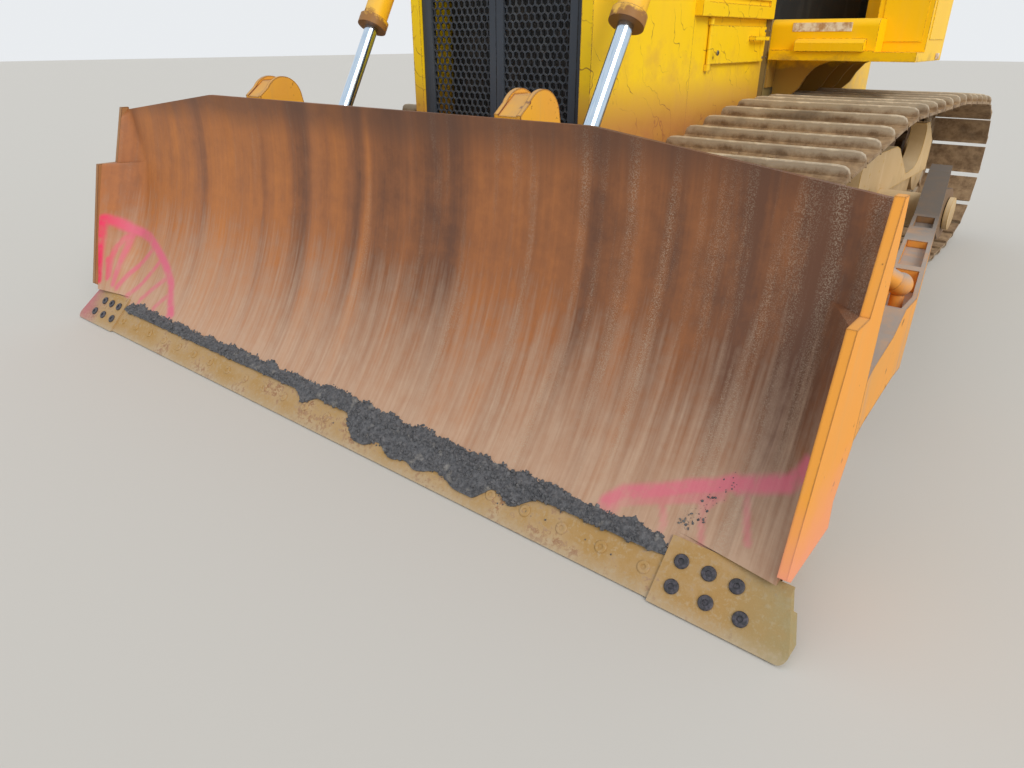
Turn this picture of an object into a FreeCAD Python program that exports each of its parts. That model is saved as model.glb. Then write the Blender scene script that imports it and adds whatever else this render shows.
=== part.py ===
import FreeCAD, Part

import math
import os
from types import SimpleNamespace

import Sketcher
from FreeCAD import Placement, Rotation, Vector

# Wide-track bulldozer with a straight blade. Millimetres and degrees. X points to the machine's left,
# Y to its rear and Z up. The origin is on the ground, midway along the machine, on its centre plane.
doc = FreeCAD.newDocument("bulldozer")
sheet = doc.addObject("Spreadsheet::Sheet", "Sizes")

# Name, value, what it measures. A station is a distance behind the foot of the cutting edge.
SIZE_ROWS = [
    ("half_length", 2780, "origin behind the foot of the cutting edge"),
    ("seat_gap", 0.3, "gap between round faces that seat on each other"),
    ("pin_clearance", 0.05, "radial clearance of a pin in its hole"),
    ("side_clearance", 6, "gap beside a piece that swings or slides"),

    ("track_gauge", 2050, "distance between the middles of the tracks"),
    ("shoe_width", 915, "track shoe across the machine"),
    ("shoe_plate", 14, "thickness of a shoe's plate"),
    ("grouser_height", 50, "worn grouser above its plate"),
    ("grouser_width", 16, "grouser at its tip"),
    ("shoe_count", 44, "shoes in one track"),
    ("chain_outer", 45, "pin line to the shoe's inner face"),
    ("chain_inner", 60, "pin line to the rail that the rollers run on"),
    ("chain_rail_inside", 50, "middle of the track to a rail's inner side"),
    ("chain_rail_width", 42, "thickness of a chain rail"),
    ("bushing_radius", 28, "chain bushing"),

    ("idler_station", 1565, "idler's axle"),
    ("ground_contact", 3285, "idler's axle to sprocket's axle"),
    ("sprocket_height", 552, "sprocket's axle above the ground"),
    ("sprocket_radius", 392, "pin line's radius on the sprocket"),
    ("sprocket_teeth", 12, "teeth on a sprocket"),
    ("sprocket_width", 76, "thickness of the toothed ring"),
    ("roller_count", 8, "track rollers a side"),
    ("roller_radius", 105, "tread of a track roller"),
    ("roller_flange", 18, "flange height of a roller"),
    ("first_roller", 385, "idler's axle to the first roller"),
    ("last_roller", 425, "last roller to the sprocket's axle"),
    ("level_run", 160, "level chain behind the last roller"),
    ("idler_pin_radius", 356, "pin line's radius on the idler"),
    ("carrier_station", 2660, "front carrier roller"),
    ("carrier_spacing", 1250, "front to rear carrier roller"),
    ("carrier_height", 831, "carrier roller's axle above the ground"),
    ("carrier_radius", 100, "tread of a carrier roller"),

    ("frame_half_width", 150, "track frame's middle to its side"),
    ("frame_bottom", 405, "underside of the track frame's box"),
    ("frame_top", 620, "top of the track frame's box"),
    ("frame_wall", 22, "plates of the track frame"),

    ("hull_half_width", 390, "main frame"),
    ("ground_clearance", 405, "belly plate above the ground"),
    ("hull_front", 1300, "station of the main frame's nose"),
    ("hull_rear", 5250, "station of the main frame's rear wall"),
    ("hull_top", 880, "main frame's upper face"),
    ("pivot_ahead", 670, "pivot shaft ahead of the sprocket's axle"),
    ("bar_behind_idler", 565, "equalizer bar behind the idler's axle"),
    ("deck_plate", 20, "deck plate on the main frame"),

    ("guard_front", 1259, "station of the radiator guard's face"),
    ("guard_rear", 2150, "station of the seam behind the radiator guard"),
    ("guard_to_track", 52.5, "radiator guard's side to the track"),
    ("guard_top", 2085, "radiator guard's upper face"),
    ("guard_wall", 25, "plates of the radiator guard"),
    ("guard_strip", 55, "face strip beside the grille"),
    ("grille_bottom", 980, "foot of the grille"),
    ("hole_pitch", 64, "middle to middle of the screen's holes"),
    ("grille_frame", 42, "bars round a grille screen"),
    ("grille_depth", 30, "thickness of the grille's bars"),

    ("engine_height", 800, "engine block above the deck"),
    ("engine_margin", 90, "engine block inside the main frame's sides"),
    ("radiator_behind", 191, "radiator behind the guard's face"),
    ("radiator_depth", 110, "thickness of the radiator"),
    ("radiator_margin", 85, "radiator inside the guard's outer face"),
    ("hood_rear", 3060, "station of the hood's rear edge"),
    ("panel_wall", 8, "sheet of the engine's side panels"),
    ("louvre_bottom", 1500, "lower edge of the louvred panel"),
    ("louvre_depth", 40, "louvred panel beyond the side panel"),
    ("door_front", 2315, "station of the engine door's front edge"),
    ("door_rear", 3020, "station of the engine door's rear edge"),
    ("door_bottom", 1283, "engine door's lower edge"),
    ("door_top", 1462, "engine door's upper edge"),

    ("door_gap", 3, "engine door beyond its panel"),
    ("door_leaf", 18, "thickness of the engine door"),
    ("hinge_pin_radius", 9, "pins of the door hinges"),
    ("knuckle_length", 32, "a hinge knuckle"),

    ("fender_front", 3075, "station of the fenders' front faces"),
    ("fender_rear", 4550, "station of the fenders' rear faces"),
    ("fender_to_track", 22.5, "fender's inner side inboard of the track"),
    ("fender_past_middle", 95, "fender's outer side beyond the middle of its track"),
    ("fender_bottom", 1340, "lower edge of the fenders"),
    ("mudguard_top", 1336, "mudguard over the track above the ground"),
    ("mudguard_front", 3050, "station of the mudguards' front lips"),
    ("toolbox_inside", 1066, "centre plane to the toolbox's inner face"),
    ("toolbox_outside", 1334, "centre plane to the toolbox's outer face"),
    ("toolbox_rear", 3650, "station of the toolbox's rear face"),
    ("toolbox_top", 1950, "toolbox's top above the ground"),
    ("box_clearance", 35, "side box beside the cab"),
    ("box_height", 1780, "side box's top above the ground"),
    ("platform_height", 1500, "step and cab floor above the ground"),
    ("box_front", 3215, "station of the side box's front face"),

    ("cab_front", 3150, "station of the cab's front"),
    ("cab_rear", 4550, "station of the cab's rear wall"),
    ("cab_half_width", 850, "cab to its outer face"),
    ("cab_front_half_width", 430, "flat part of the cab's front"),
    ("cab_corner_rear", 3620, "station where the cab's slanted corner ends"),
    ("cab_height", 3090, "top of the cab's walls"),
    ("cab_wall", 55, "thickness of the cab's walls"),
    ("roof_thickness", 110, "cab roof"),
    ("roof_overhang", 45, "roof beyond the walls"),
    ("window_bottom", 1930, "foot of the cab's front windows"),
    ("window_head", 130, "cab wall above the windows"),
    ("cab_door_front", 3680, "station of the cab door's front edge"),
    ("cab_door_rear", 4360, "station of the cab door's rear edge"),
    ("cab_door_bottom", 1815, "foot of the cab door"),
    ("door_head", 90, "cab wall above the doors"),
    ("door_play", 8, "gap round a cab door"),
    ("door_frame", 70, "frame round a cab door's pane"),
    ("door_depth", 38, "thickness of a cab door"),
    ("glass_thickness", 8, "window glass"),
    ("seat_ahead", 570, "seat ahead of the cab's rear wall"),
    ("seat_half_width", 250, "operator's seat"),
    ("console_reach", 460, "centre plane to a console's outer side"),

    ("trunnion_station", 3350, "axis that the push arms swing on"),
    ("trunnion_height", 500, "the same axis above the ground"),
    ("trunnion_radius", 60, "trunnion in the arm's eye"),
    ("arm_clearance", 20, "track to the push arm"),
    ("arm_width", 100, "push arm"),
    ("arm_bottom", 470, "push arm's lower face"),
    ("arm_top", 700, "push arm's upper face"),
    ("arm_flare", 327.5, "arm's front end further out than its rear"),
    ("arm_bend", 3200, "station where the arm starts to lean outward"),
    ("arm_front", 930, "station where it runs straight again"),
    ("arm_rim", 14, "side plates beyond the arm's top plate"),
    ("arm_rise", 120, "arm's rear higher than its front"),

    ("blade_radius", 1373, "curve of the moldboard's face"),
    ("blade_axis_ahead", 909, "curve's centre ahead of the cutting edge"),
    ("blade_axis_height", 1038, "curve's centre above the ground"),
    ("blade_plate", 20, "thickness of the moldboard"),
    ("blade_height", 1167, "top of the blade in the middle"),
    ("shoulder_inset", 857, "end plate to where the top edge slopes"),
    ("blade_corner_height", 1060, "top of the blade at its ends"),
    ("end_plate", 25, "thickness of an end plate"),
    ("edge_clear", 6, "cutting edge above the ground"),
    ("edge_rise", 96, "visible height of the cutting edge"),
    ("edge_set_back", 92, "top of the cutting edge behind its foot"),
    ("edge_plate", 28, "thickness of the cutting edge"),
    ("end_bit_length", 385, "end bit along the blade"),
    ("end_bit_overhang", 83, "end bit's corner beyond the end plate"),
    ("end_bit_rise", 56, "end bit above the cutting edge, along its face"),
    ("end_bit_proud", 8, "end bit in front of the cutting edge's face"),

    ("lift_offset", 200, "lift cylinder's axis beyond the radiator guard"),
    ("rod_pin_station", 720, "rod's pin on the blade"),
    ("rod_pin_height", 680, "the same pin above the ground"),
    ("lift_pivot_station", 1450, "lift cylinder's trunnion"),
    ("lift_pivot_height", 1898, "the same trunnion above the ground"),
    ("barrel_below", 525, "trunnion to the gland"),
    ("barrel_above", 832, "trunnion to the barrel's upper end"),
    ("barrel_radius", 58, "outside of a lift barrel"),
    ("barrel_bore", 46, "inside of a lift barrel"),
    ("gland_radius", 70, "collar at the gland"),
    ("gland_length", 45, "collar at the gland along the barrel"),
    ("rod_radius", 32, "lift rod"),
    ("rod_length", 1425, "rod's pin to the piston's end"),
    ("rod_eye_radius", 72, "eye at the rod's end"),
    ("rod_eye_width", 64, "eye across the machine"),
    ("rod_pin_radius", 30, "rod's pin"),
    ("bracket_plate", 18, "side plates of a rod's bracket"),
    ("bracket_gap", 76, "between the plates of a rod's bracket"),

    ("drawbar_rear", 5584, "station of the drawbar's rear end"),
    ("drawbar_pin_station", 5510, "drawbar's pin bore"),
    ("drawbar_bore", 27, "radius of the drawbar's pin bore"),
    ("drawbar_ear", 40, "thickness of a drawbar ear"),
    ("drawbar_gap", 92, "between the drawbar's ears"),
    ("drawbar_height", 560, "middle of the drawbar above the ground"),
]
for row, (alias, value, note) in enumerate(SIZE_ROWS, start=1):
    sheet.set(f"A{row}", alias)
    sheet.set(f"B{row}", str(value))
    sheet.set(f"C{row}", note)
    sheet.setAlias(f"B{row}", alias)
doc.recompute()


class Size:
    """A number with the sheet formula that gives it, so that what is worked out stays bound."""

    def __init__(self, number, formula):
        self.number = float(number)
        self.formula = formula

    def __add__(self, other):
        other = as_size(other)
        return Size(self.number + other.number, f"({self.formula} + {other.formula})")

    def __sub__(self, other):
        other = as_size(other)
        return Size(self.number - other.number, f"({self.formula} - {other.formula})")

    def __mul__(self, other):
        other = as_size(other)
        return Size(self.number * other.number, f"({self.formula} * {other.formula})")

    def __truediv__(self, other):
        other = as_size(other)
        return Size(self.number / other.number, f"({self.formula} / {other.formula})")

    def __neg__(self):
        return Size(-self.number, f"(0 - {self.formula})")

    def __radd__(self, other):
        return as_size(other) + self

    def __rsub__(self, other):
        return as_size(other) - self

    def __rmul__(self, other):
        return as_size(other) * self


def as_size(value):
    """Return value as a Size; a bare number stays the number it is."""
    if isinstance(value, Size):
        return value
    return Size(value, f"({float(value):.6f})")


def root_of(size):
    """Square root of a Size."""
    return Size(math.sqrt(size.number), f"sqrt({size.formula})")


def slope_from_vertical(across, up):
    """Angle in degrees, from +Z towards +Y, of the line that goes across and up."""
    angle = math.degrees(math.atan2(across.number, up.number))
    return Size(angle, f"atan2({across.formula}; {up.formula})")


s = SimpleNamespace(**{
    alias: Size(sheet.get(alias), f"Sizes.{alias}") for alias, _, _ in SIZE_ROWS
})


# Widths and heights that follow from the tracks, the cab and the arms
track_x = s.track_gauge / 2
track_inside = track_x - s.shoe_width / 2
track_outside = track_x + s.shoe_width / 2
s.guard_half_width = track_inside - s.guard_to_track
s.grille_half_width = s.guard_half_width - s.guard_strip
s.fender_inside = track_inside - s.fender_to_track
s.fender_outside = track_x + s.fender_past_middle
s.window_top = s.cab_height - s.window_head
s.cab_door_top = s.cab_height - s.door_head
s.lift_side = s.guard_half_width + s.lift_offset
s.arm_inside = track_outside + s.arm_clearance
s.blade_outside = s.arm_inside + s.arm_width + s.arm_flare
s.blade_half_width = s.blade_outside - s.end_plate
s.blade_shoulder = s.blade_half_width - s.shoulder_inset
s.end_bit_outside = s.blade_half_width + s.end_bit_overhang
s.end_bit_inside = s.end_bit_outside - s.end_bit_length


def station(distance):
    """Y of a distance behind the foot of the cutting edge."""
    return as_size(distance) - s.half_length


def bind(thing, prop, size):
    """Tie a property to the sheet."""
    thing.setExpression(prop, as_size(size).formula)


def place(thing, x=0, y=0, z=0):
    """Tie an object's place to the sheet."""
    for axis, size in (("x", x), ("y", y), ("z", z)):
        bind(thing, f"Placement.Base.{axis}", size)


def block(name, x, y, z):
    """A box between two Sizes along each axis."""
    solid = doc.addObject("Part::Box", name)
    for prop, (low, high) in (("Length", x), ("Width", y), ("Height", z)):
        bind(solid, prop, as_size(high) - low)
    place(solid, x[0], y[0], z[0])
    return solid


# Turns that lay a cylinder, which is drawn along Z, along another axis.
LAID_ALONG = {
    "x": Rotation(Vector(0, 1, 0), 90),
    "y": Rotation(Vector(1, 0, 0), -90),
    "z": Rotation(),
}


def bar(name, radius, axis, low, high, first, second):
    """A round bar along an axis from low to high; first and second place it on the other two axes."""
    solid = doc.addObject("Part::Cylinder", name)
    bind(solid, "Radius", radius)
    bind(solid, "Height", as_size(high) - low)
    solid.Placement = Placement(Vector(), LAID_ALONG[axis])
    if axis == "x":
        place(solid, low, first, second)
    elif axis == "y":
        place(solid, first, low, second)
    else:
        place(solid, first, second, low)
    return solid


def leaning_bar(name, radius, x, y, z, lean, low, high):
    """A round bar in a fore-and-aft plane; it leans from +Z to +Y, and low and high are measured from y, z."""
    solid = doc.addObject("Part::Cylinder", name)
    bind(solid, "Radius", radius)
    bind(solid, "Height", as_size(high) - low)
    solid.Placement = Placement(Vector(), Rotation(Vector(1, 0, 0), -lean.number))
    low = as_size(low)
    reach_y = Size(math.sin(math.radians(lean.number)), f"sin({lean.formula})") * low
    reach_z = Size(math.cos(math.radians(lean.number)), f"cos({lean.formula})") * low
    place(solid, x, y + reach_y, z + reach_z)
    return solid


def origin_plane(body, role):
    """One of a body's own origin planes, such as XY_Plane."""
    return next(feature for feature in body.Origin.OriginFeatures if feature.Role == role)


def arc_centre(start, end, radius):
    """Centre of the shorter arc; a positive radius turns left on the way from start to end."""
    middle = (start + end) * 0.5
    half = (end - start) * 0.5
    rise = math.sqrt(max(radius * radius - half.Length ** 2, 0.0))
    left = Vector(-half.y, half.x, 0).normalize()
    return middle + left * math.copysign(rise, radius)


def sketch_outline(body, role, offset, corners):
    """Draw a closed outline. A corner is (u, v), or (u, v, radius) where an arc leads to it."""
    sketch = body.newObject("Sketcher::SketchObject", body.Name + "_outline")
    sketch.AttachmentSupport = [(origin_plane(body, role), "")]
    sketch.MapMode = "FlatFace"
    bind(sketch, "AttachmentOffset.Base.z", offset)
    sizes = [(as_size(corner[0]), as_size(corner[1])) for corner in corners]
    points = [Vector(u.number, v.number, 0) for u, v in sizes]
    ends = []
    for index, start in enumerate(points):
        following = (index + 1) % len(points)
        end = points[following]
        if len(corners[following]) == 3:
            radius = as_size(corners[following][2]).number
            centre = arc_centre(start, end, radius)
            first, last = (start, end) if radius > 0 else (end, start)
            begin_angle = math.atan2(first.y - centre.y, first.x - centre.x)
            end_angle = math.atan2(last.y - centre.y, last.x - centre.x)
            circle = Part.Circle(centre, Vector(0, 0, 1), abs(radius))
            sketch.addGeometry(Part.ArcOfCircle(circle, begin_angle, end_angle), False)
            ends.append((1, 2) if radius > 0 else (2, 1))
        else:
            sketch.addGeometry(Part.LineSegment(start, end), False)
            ends.append((1, 2))
    formulas = []
    for index, (u, v) in enumerate(sizes):
        following = (index + 1) % len(points)
        sketch.addConstraint(
            Sketcher.Constraint("Coincident", index, ends[index][1], following, ends[following][0])
        )
        for kind, size in (("DistanceX", u), ("DistanceY", v)):
            number = sketch.addConstraint(
                Sketcher.Constraint(kind, -1, 1, index, ends[index][0], size.number)
            )
            formulas.append((number, size.formula))
        if len(corners[following]) == 3:
            radius = as_size(corners[following][2])
            chord = points[following] - points[index]
            if abs(chord.Length - 2 * abs(radius.number)) > 1e-6:
                formula = radius.formula if radius.number > 0 else f"(0 - {radius.formula})"
                number = sketch.addConstraint(Sketcher.Constraint("Radius", index, abs(radius.number)))
            else:
                # A half circle's centre lies on its chord, which runs along one of the sketch's axes
                kind, size = ("DistanceX", u) if abs(chord.y) > abs(chord.x) else ("DistanceY", v)
                formula = size.formula
                number = sketch.addConstraint(Sketcher.Constraint(kind, -1, 1, index, 3, size.number))
            formulas.append((number, formula))
    for number, formula in formulas:
        sketch.setExpression(f"Constraints[{number}]", formula)
    return sketch


def plate(name, plane, low, high, corners):
    """A padded outline between low and high along its plane's normal: YZ, XZ or XY."""
    body = doc.addObject("PartDesign::Body", name)
    offset = -as_size(high) if plane == "XZ" else low
    sketch = sketch_outline(body, plane + "_Plane", offset, corners)
    pad = body.newObject("PartDesign::Pad", name + "_pad")
    pad.Profile = sketch
    bind(pad, "Length", as_size(high) - low)
    sketch.Visibility = False
    return body


def turned(name, x, y, z, corners):
    """A body turned about an axis along X through y, z; corners are (distance along X, radius)."""
    body = doc.addObject("PartDesign::Body", name)
    sketch = sketch_outline(body, "XY_Plane", 0, corners)
    revolution = body.newObject("PartDesign::Revolution", name + "_turn")
    revolution.Profile = sketch
    revolution.ReferenceAxis = (sketch, ["H_Axis"])
    revolution.Angle = 360
    place(body, x, y, z)
    return body


def fuse(name, pieces):
    """Pieces joined into one."""
    joined = doc.addObject("Part::MultiFuse", name)
    joined.Shapes = pieces
    joined.Refine = True
    return joined


def cut(name, base, tool):
    """A piece with another taken out of it."""
    rest = doc.addObject("Part::Cut", name)
    rest.Base = base
    rest.Tool = tool
    rest.Refine = True
    return rest


def common(name, pieces):
    """What all the pieces share."""
    shared = doc.addObject("Part::MultiCommon", name)
    shared.Shapes = pieces
    shared.Refine = True
    return shared


def group(name, pieces):
    """Solids that don't touch, kept as one sub-part."""
    compound = doc.addObject("Part::Compound", name)
    compound.Links = pieces
    return compound


def mirrored(name, source):
    """The same piece on the machine's other side."""
    twin = doc.addObject("Part::Mirroring", name)
    twin.Source = source
    twin.Normal = Vector(1, 0, 0)
    return twin


def copied(name, source, x=0, y=0, z=0):
    """A linked copy of a piece, moved by x, y, z."""
    twin = doc.addObject("Part::Compound", name)
    twin.Links = [source]
    place(twin, x, y, z)
    return twin


nodes = []


def keep(node, piece):
    """Give a finished sub-part the label that names its file."""
    piece.Label = node
    nodes.append(piece)
    return piece


# Places that several pieces share
idler_y = station(s.idler_station)
sprocket_y = idler_y + s.ground_contact
ground_pin_line = s.grouser_height + s.shoe_plate + s.chain_outer
ground_rail = ground_pin_line + s.chain_inner
idler_z = ground_pin_line + s.idler_pin_radius
roller_z = ground_rail + s.roller_radius + s.seat_gap
rail_outside = s.chain_rail_inside + s.chain_rail_width


# Tracks: one closed loop of shoes on two chain rails with bushings between them
def belt_path(wheels):
    """Closed path round wheels given as (y, z, radius), in the order in which the belt turns left."""
    tangents = []
    for index, (y, z, radius) in enumerate(wheels):
        next_y, next_z, next_radius = wheels[(index + 1) % len(wheels)]
        way = Vector(0, next_y - y, next_z - z)
        span = way.Length
        way.normalize()
        right = Vector(0, way.z, -way.y)
        share = (radius - next_radius) / span
        normal = way * share + right * math.sqrt(1 - share * share)
        start = Vector(0, y, z) + normal * radius
        end = Vector(0, next_y, next_z) + normal * next_radius
        tangents.append((start, end, normal))
    edges = []
    for index, (start, end, normal) in enumerate(tangents):
        edges.append(Part.makeLine(start, end))
        following = (index + 1) % len(wheels)
        next_start, _, next_normal = tangents[following]
        if end.distanceToPoint(next_start) > 0.01:
            y, z, radius = wheels[following]
            middle = Vector(0, y, z) + (normal + next_normal).normalize() * radius
            edges.append(Part.Arc(end, middle, next_start).toShape())
    return Part.Wire(Part.__sortEdges__(edges))


def pins_along(path, count):
    """Pin centres at even distances along a closed path, turning left seen from +X."""
    points = path.discretize(Number=count + 1)[:-1]
    area = sum(
        a.y * b.z - b.y * a.z for a, b in zip(points, points[1:] + points[:1])
    )
    return points if area > 0 else points[::-1]


def offset_corner(pins, index, outward):
    """Mitred point outward of a pin, between the links that meet there."""
    before = (pins[index] - pins[index - 1]).normalize()
    after = (pins[(index + 1) % len(pins)] - pins[index]).normalize()
    normal = Vector(0, before.z + after.z, -before.y - after.y).normalize()
    stretch = normal.dot(Vector(0, after.z, -after.y))
    return pins[index] + normal * (outward / stretch)


def ring_between(outer, inner, low, high):
    """A flat ring in the YZ plane between two closed lists of points, thickened from x low to high."""
    shift = Vector(low, 0, 0)
    outline = Part.Face(Part.makePolygon([p + shift for p in outer + outer[:1]]))
    hole = Part.Face(Part.makePolygon([p + shift for p in inner + inner[:1]]))
    return outline.cut(hole).extrude(Vector(high - low, 0, 0))


roller_pin_radius = s.roller_radius + s.chain_inner + s.seat_gap
first_roller_y = idler_y + s.first_roller
last_roller_y = sprocket_y - s.last_roller
carrier_slack = Size(8, "(8)")
carrier_pin_radius = s.carrier_radius + s.chain_inner + carrier_slack
front_carrier_y = station(s.carrier_station)
rear_carrier_y = front_carrier_y + s.carrier_spacing
WHEELS = [
    (idler_y, idler_z, s.idler_pin_radius),
    (first_roller_y, roller_z, roller_pin_radius),
    (last_roller_y + s.level_run, roller_z, roller_pin_radius),
    (sprocket_y, s.sprocket_height, s.sprocket_radius),
    (rear_carrier_y, s.carrier_height, carrier_pin_radius),
    (front_carrier_y, s.carrier_height, carrier_pin_radius),
]
loop = belt_path([tuple(size.number for size in wheel) for wheel in WHEELS])
pins = pins_along(loop, int(s.shoe_count.number))
link_pitch = as_size(pins[0].distanceToPoint(pins[1]))

# One shoe's outer outline: share of the link, height above the plate's outer face
SHOE_OUTLINE = [(0.03, 0.0), (0.10, 0.0), (0.13, 1.0)]


def shoe_points(start, end):
    """Outer outline of the shoe on the link from start to end, grouser first."""
    along = end - start
    length = along.Length
    along.normalize()
    out = Vector(0, along.z, -along.y)
    face = s.chain_outer.number + s.shoe_plate.number
    height = s.grouser_height.number
    tip = 0.13 + s.grouser_width.number / length
    local = [(share * length, face + rise * height) for share, rise in SHOE_OUTLINE]
    local.append((tip * length, face + height))
    local.append(((tip + 0.03) * length, face))
    local.append((0.97 * length, face))
    return [start + along * a + out * b for a, b in local]


def make_track():
    """The whole track about x = 0."""
    count = len(pins)
    half = s.shoe_width.number / 2
    outer = []
    for index in range(count):
        outer += shoe_points(pins[index], pins[(index + 1) % count])
    seat = [offset_corner(pins, index, s.chain_outer.number) for index in range(count)]
    tread = [offset_corner(pins, index, -s.chain_inner.number) for index in range(count)]
    solids = [ring_between(outer, seat, -half, half)]
    inside = s.chain_rail_inside.number
    outside = rail_outside.number
    solids.append(ring_between(seat, tread, inside, outside))
    solids.append(ring_between(seat, tread, -outside, -inside))
    for pin in pins:
        corners = []
        for step in range(9):
            angle = math.radians(45 * step + 22.5)
            spoke = Vector(0, math.cos(angle), math.sin(angle)) * s.bushing_radius.number
            corners.append(pin + spoke + Vector(-inside, 0, 0))
        solids.append(Part.Face(Part.makePolygon(corners)).extrude(Vector(2 * inside, 0, 0)))
    return solids[0].fuse(solids[1:]).removeSplitter()


track = doc.addObject("Part::Feature", "track")
track.Shape = make_track()
track_left = keep("track_left", copied("track_left_copy", track, x=track_x))
track_right = keep("track_right", mirrored("track_right_copy", track_left))

# Idler: a turned rim with a guide flange between the chain rails, a hollow web and a hub
idler_tread = root_of(s.idler_pin_radius * s.idler_pin_radius - link_pitch * link_pitch / 4)
idler_tread = idler_tread - s.chain_inner - s.seat_gap
flange_half = s.chain_rail_inside - s.side_clearance
idler_axle = Size(45, "(45)")
idler_hub = Size(85, "(85)")
idler_rim = Size(38, "(38)")
idler_web = Size(14, "(14)")
idler_left = turned("idler", track_x, idler_y, idler_z, [
    (-rail_outside, idler_axle),
    (rail_outside, idler_axle),
    (rail_outside, idler_hub),
    (idler_web, idler_hub),
    (idler_web, idler_tread - idler_rim),
    (rail_outside, idler_tread - idler_rim),
    (rail_outside, idler_tread),
    (flange_half, idler_tread),
    (flange_half - 8, idler_tread + 22),
    (8 - flange_half, idler_tread + 22),
    (-flange_half, idler_tread),
    (-rail_outside, idler_tread),
    (-rail_outside, idler_tread - idler_rim),
    (-idler_web, idler_tread - idler_rim),
    (-idler_web, idler_hub),
    (-rail_outside, idler_hub),
])
keep("idler_left", idler_left)
keep("idler_right", mirrored("idler_right_copy", idler_left))

# Sprocket: a toothed ring on the final drive's case
final_drive_radius = Size(255, "(255)")
sprocket_root = s.sprocket_radius - s.bushing_radius - 4
sprocket_bore = final_drive_radius + s.seat_gap
half_ring = s.sprocket_width / 2
sprocket_body = doc.addObject("PartDesign::Body", "sprocket")
sprocket_disc = sprocket_body.newObject("PartDesign::Pad", "sprocket_disc")
sprocket_disc.Profile = sketch_outline(sprocket_body, "YZ_Plane", -half_ring, [
    (-sprocket_root, 0, sprocket_root),
    (sprocket_root, 0, sprocket_root),
])
bind(sprocket_disc, "Length", s.sprocket_width)
tooth_step = 2 * math.pi / s.sprocket_teeth.number
tooth_base = link_pitch / 2 - s.bushing_radius - 8
tooth_tip = tooth_base - 24
tooth = sprocket_body.newObject("PartDesign::Pad", "sprocket_tooth")
tooth_outline = sketch_outline(sprocket_body, "YZ_Plane", -half_ring, [
    (sprocket_root - 40, -tooth_base),
    (s.sprocket_radius - 10, -tooth_base),
    (s.sprocket_radius + 16, -tooth_tip),
    (s.sprocket_radius + 16, tooth_tip),
    (s.sprocket_radius - 10, tooth_base),
    (sprocket_root - 40, tooth_base),
])
tooth.Profile = tooth_outline
bind(tooth, "Length", s.sprocket_width)
doc.recompute()
teeth = sprocket_body.newObject("PartDesign::PolarPattern", "sprocket_teeth")
teeth.Originals = [tooth]
teeth.Axis = (tooth_outline, ["N_Axis"])
teeth.Angle = 360
bind(teeth, "Occurrences", s.sprocket_teeth)
sprocket_body.Tip = teeth
doc.recompute()
bore = sprocket_body.newObject("PartDesign::Pocket", "sprocket_bore")
bore.Profile = sketch_outline(sprocket_body, "YZ_Plane", half_ring, [
    (-sprocket_bore, 0, sprocket_bore),
    (sprocket_bore, 0, sprocket_bore),
])
bore.Type = "ThroughAll"
sprocket_body.Tip = bore
sprocket_turn = doc.addObject("Part::Compound", "sprocket_turned")
sprocket_turn.Links = [sprocket_body]


def sprocket_phase():
    """Angle in degrees that puts the teeth midway between the pins on the sprocket."""
    centre = Vector(0, sprocket_y.number, s.sprocket_height.number)
    rear = max(range(len(pins)), key=lambda index: pins[index].y)
    middle = (pins[rear] + pins[(rear + 1) % len(pins)]) * 0.5 - centre
    return math.degrees(math.atan2(middle.z, middle.y))


sprocket_turn.Placement = Placement(Vector(), Rotation(Vector(1, 0, 0), sprocket_phase()))
place(sprocket_turn, track_x, sprocket_y, s.sprocket_height)
keep("sprocket_left", sprocket_turn)
keep("sprocket_right", mirrored("sprocket_right_copy", sprocket_turn))

# Track rollers: eight a side between the track frame's side plates
roller_reach = s.frame_half_width - s.frame_wall - s.seat_gap
roller_flange_radius = s.roller_radius + s.roller_flange
roller_shaft = Size(40, "(40)")
roller_spacing = (last_roller_y - first_roller_y) / (s.roller_count - 1)


def roller_row(name, count, start, spacing, height, corners):
    """Like rollers in a row from front to rear."""
    row = []
    for index in range(count):
        row.append(turned(f"{name}_{index + 1}", track_x, start + spacing * index, height, corners))
    return group(name, row)


roller_outline = [
    (-roller_reach, 0),
    (roller_reach, 0),
    (roller_reach, roller_shaft),
    (rail_outside + 16, roller_shaft),
    (rail_outside + 16, roller_flange_radius),
    (rail_outside + 4, roller_flange_radius),
    (rail_outside + 2, s.roller_radius),
    (s.chain_rail_inside - 10, s.roller_radius),
    (s.chain_rail_inside - 10, s.roller_radius - 25),
    (10 - s.chain_rail_inside, s.roller_radius - 25),
    (10 - s.chain_rail_inside, s.roller_radius),
    (-rail_outside - 2, s.roller_radius),
    (-rail_outside - 4, roller_flange_radius),
    (-rail_outside - 16, roller_flange_radius),
    (-rail_outside - 16, roller_shaft),
    (-roller_reach, roller_shaft),
]
rollers_left = roller_row("track_rollers", int(s.roller_count.number), first_roller_y,
                          roller_spacing, roller_z, roller_outline)
keep("track_rollers_left", rollers_left)
keep("track_rollers_right", mirrored("track_rollers_right_copy", rollers_left))

# Carrier rollers: two a side, each on a post on the track frame
carrier_outline = [
    (-s.frame_half_width + s.frame_wall + s.seat_gap, 0),
    (rail_outside + 4, 0),
    (rail_outside + 4, s.carrier_radius),
    (flange_half, s.carrier_radius),
    (flange_half - 6, s.carrier_radius + 14),
    (6 - flange_half, s.carrier_radius + 14),
    (-flange_half, s.carrier_radius),
    (-rail_outside - 4, s.carrier_radius),
    (-rail_outside - 4, roller_shaft),
    (-s.frame_half_width + s.frame_wall + s.seat_gap, roller_shaft),
]
carriers_left = roller_row("carrier_rollers", 2, front_carrier_y, s.carrier_spacing,
                           s.carrier_height, carrier_outline)
keep("carrier_rollers_left", carriers_left)
keep("carrier_rollers_right", mirrored("carrier_rollers_right_copy", carriers_left))

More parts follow.
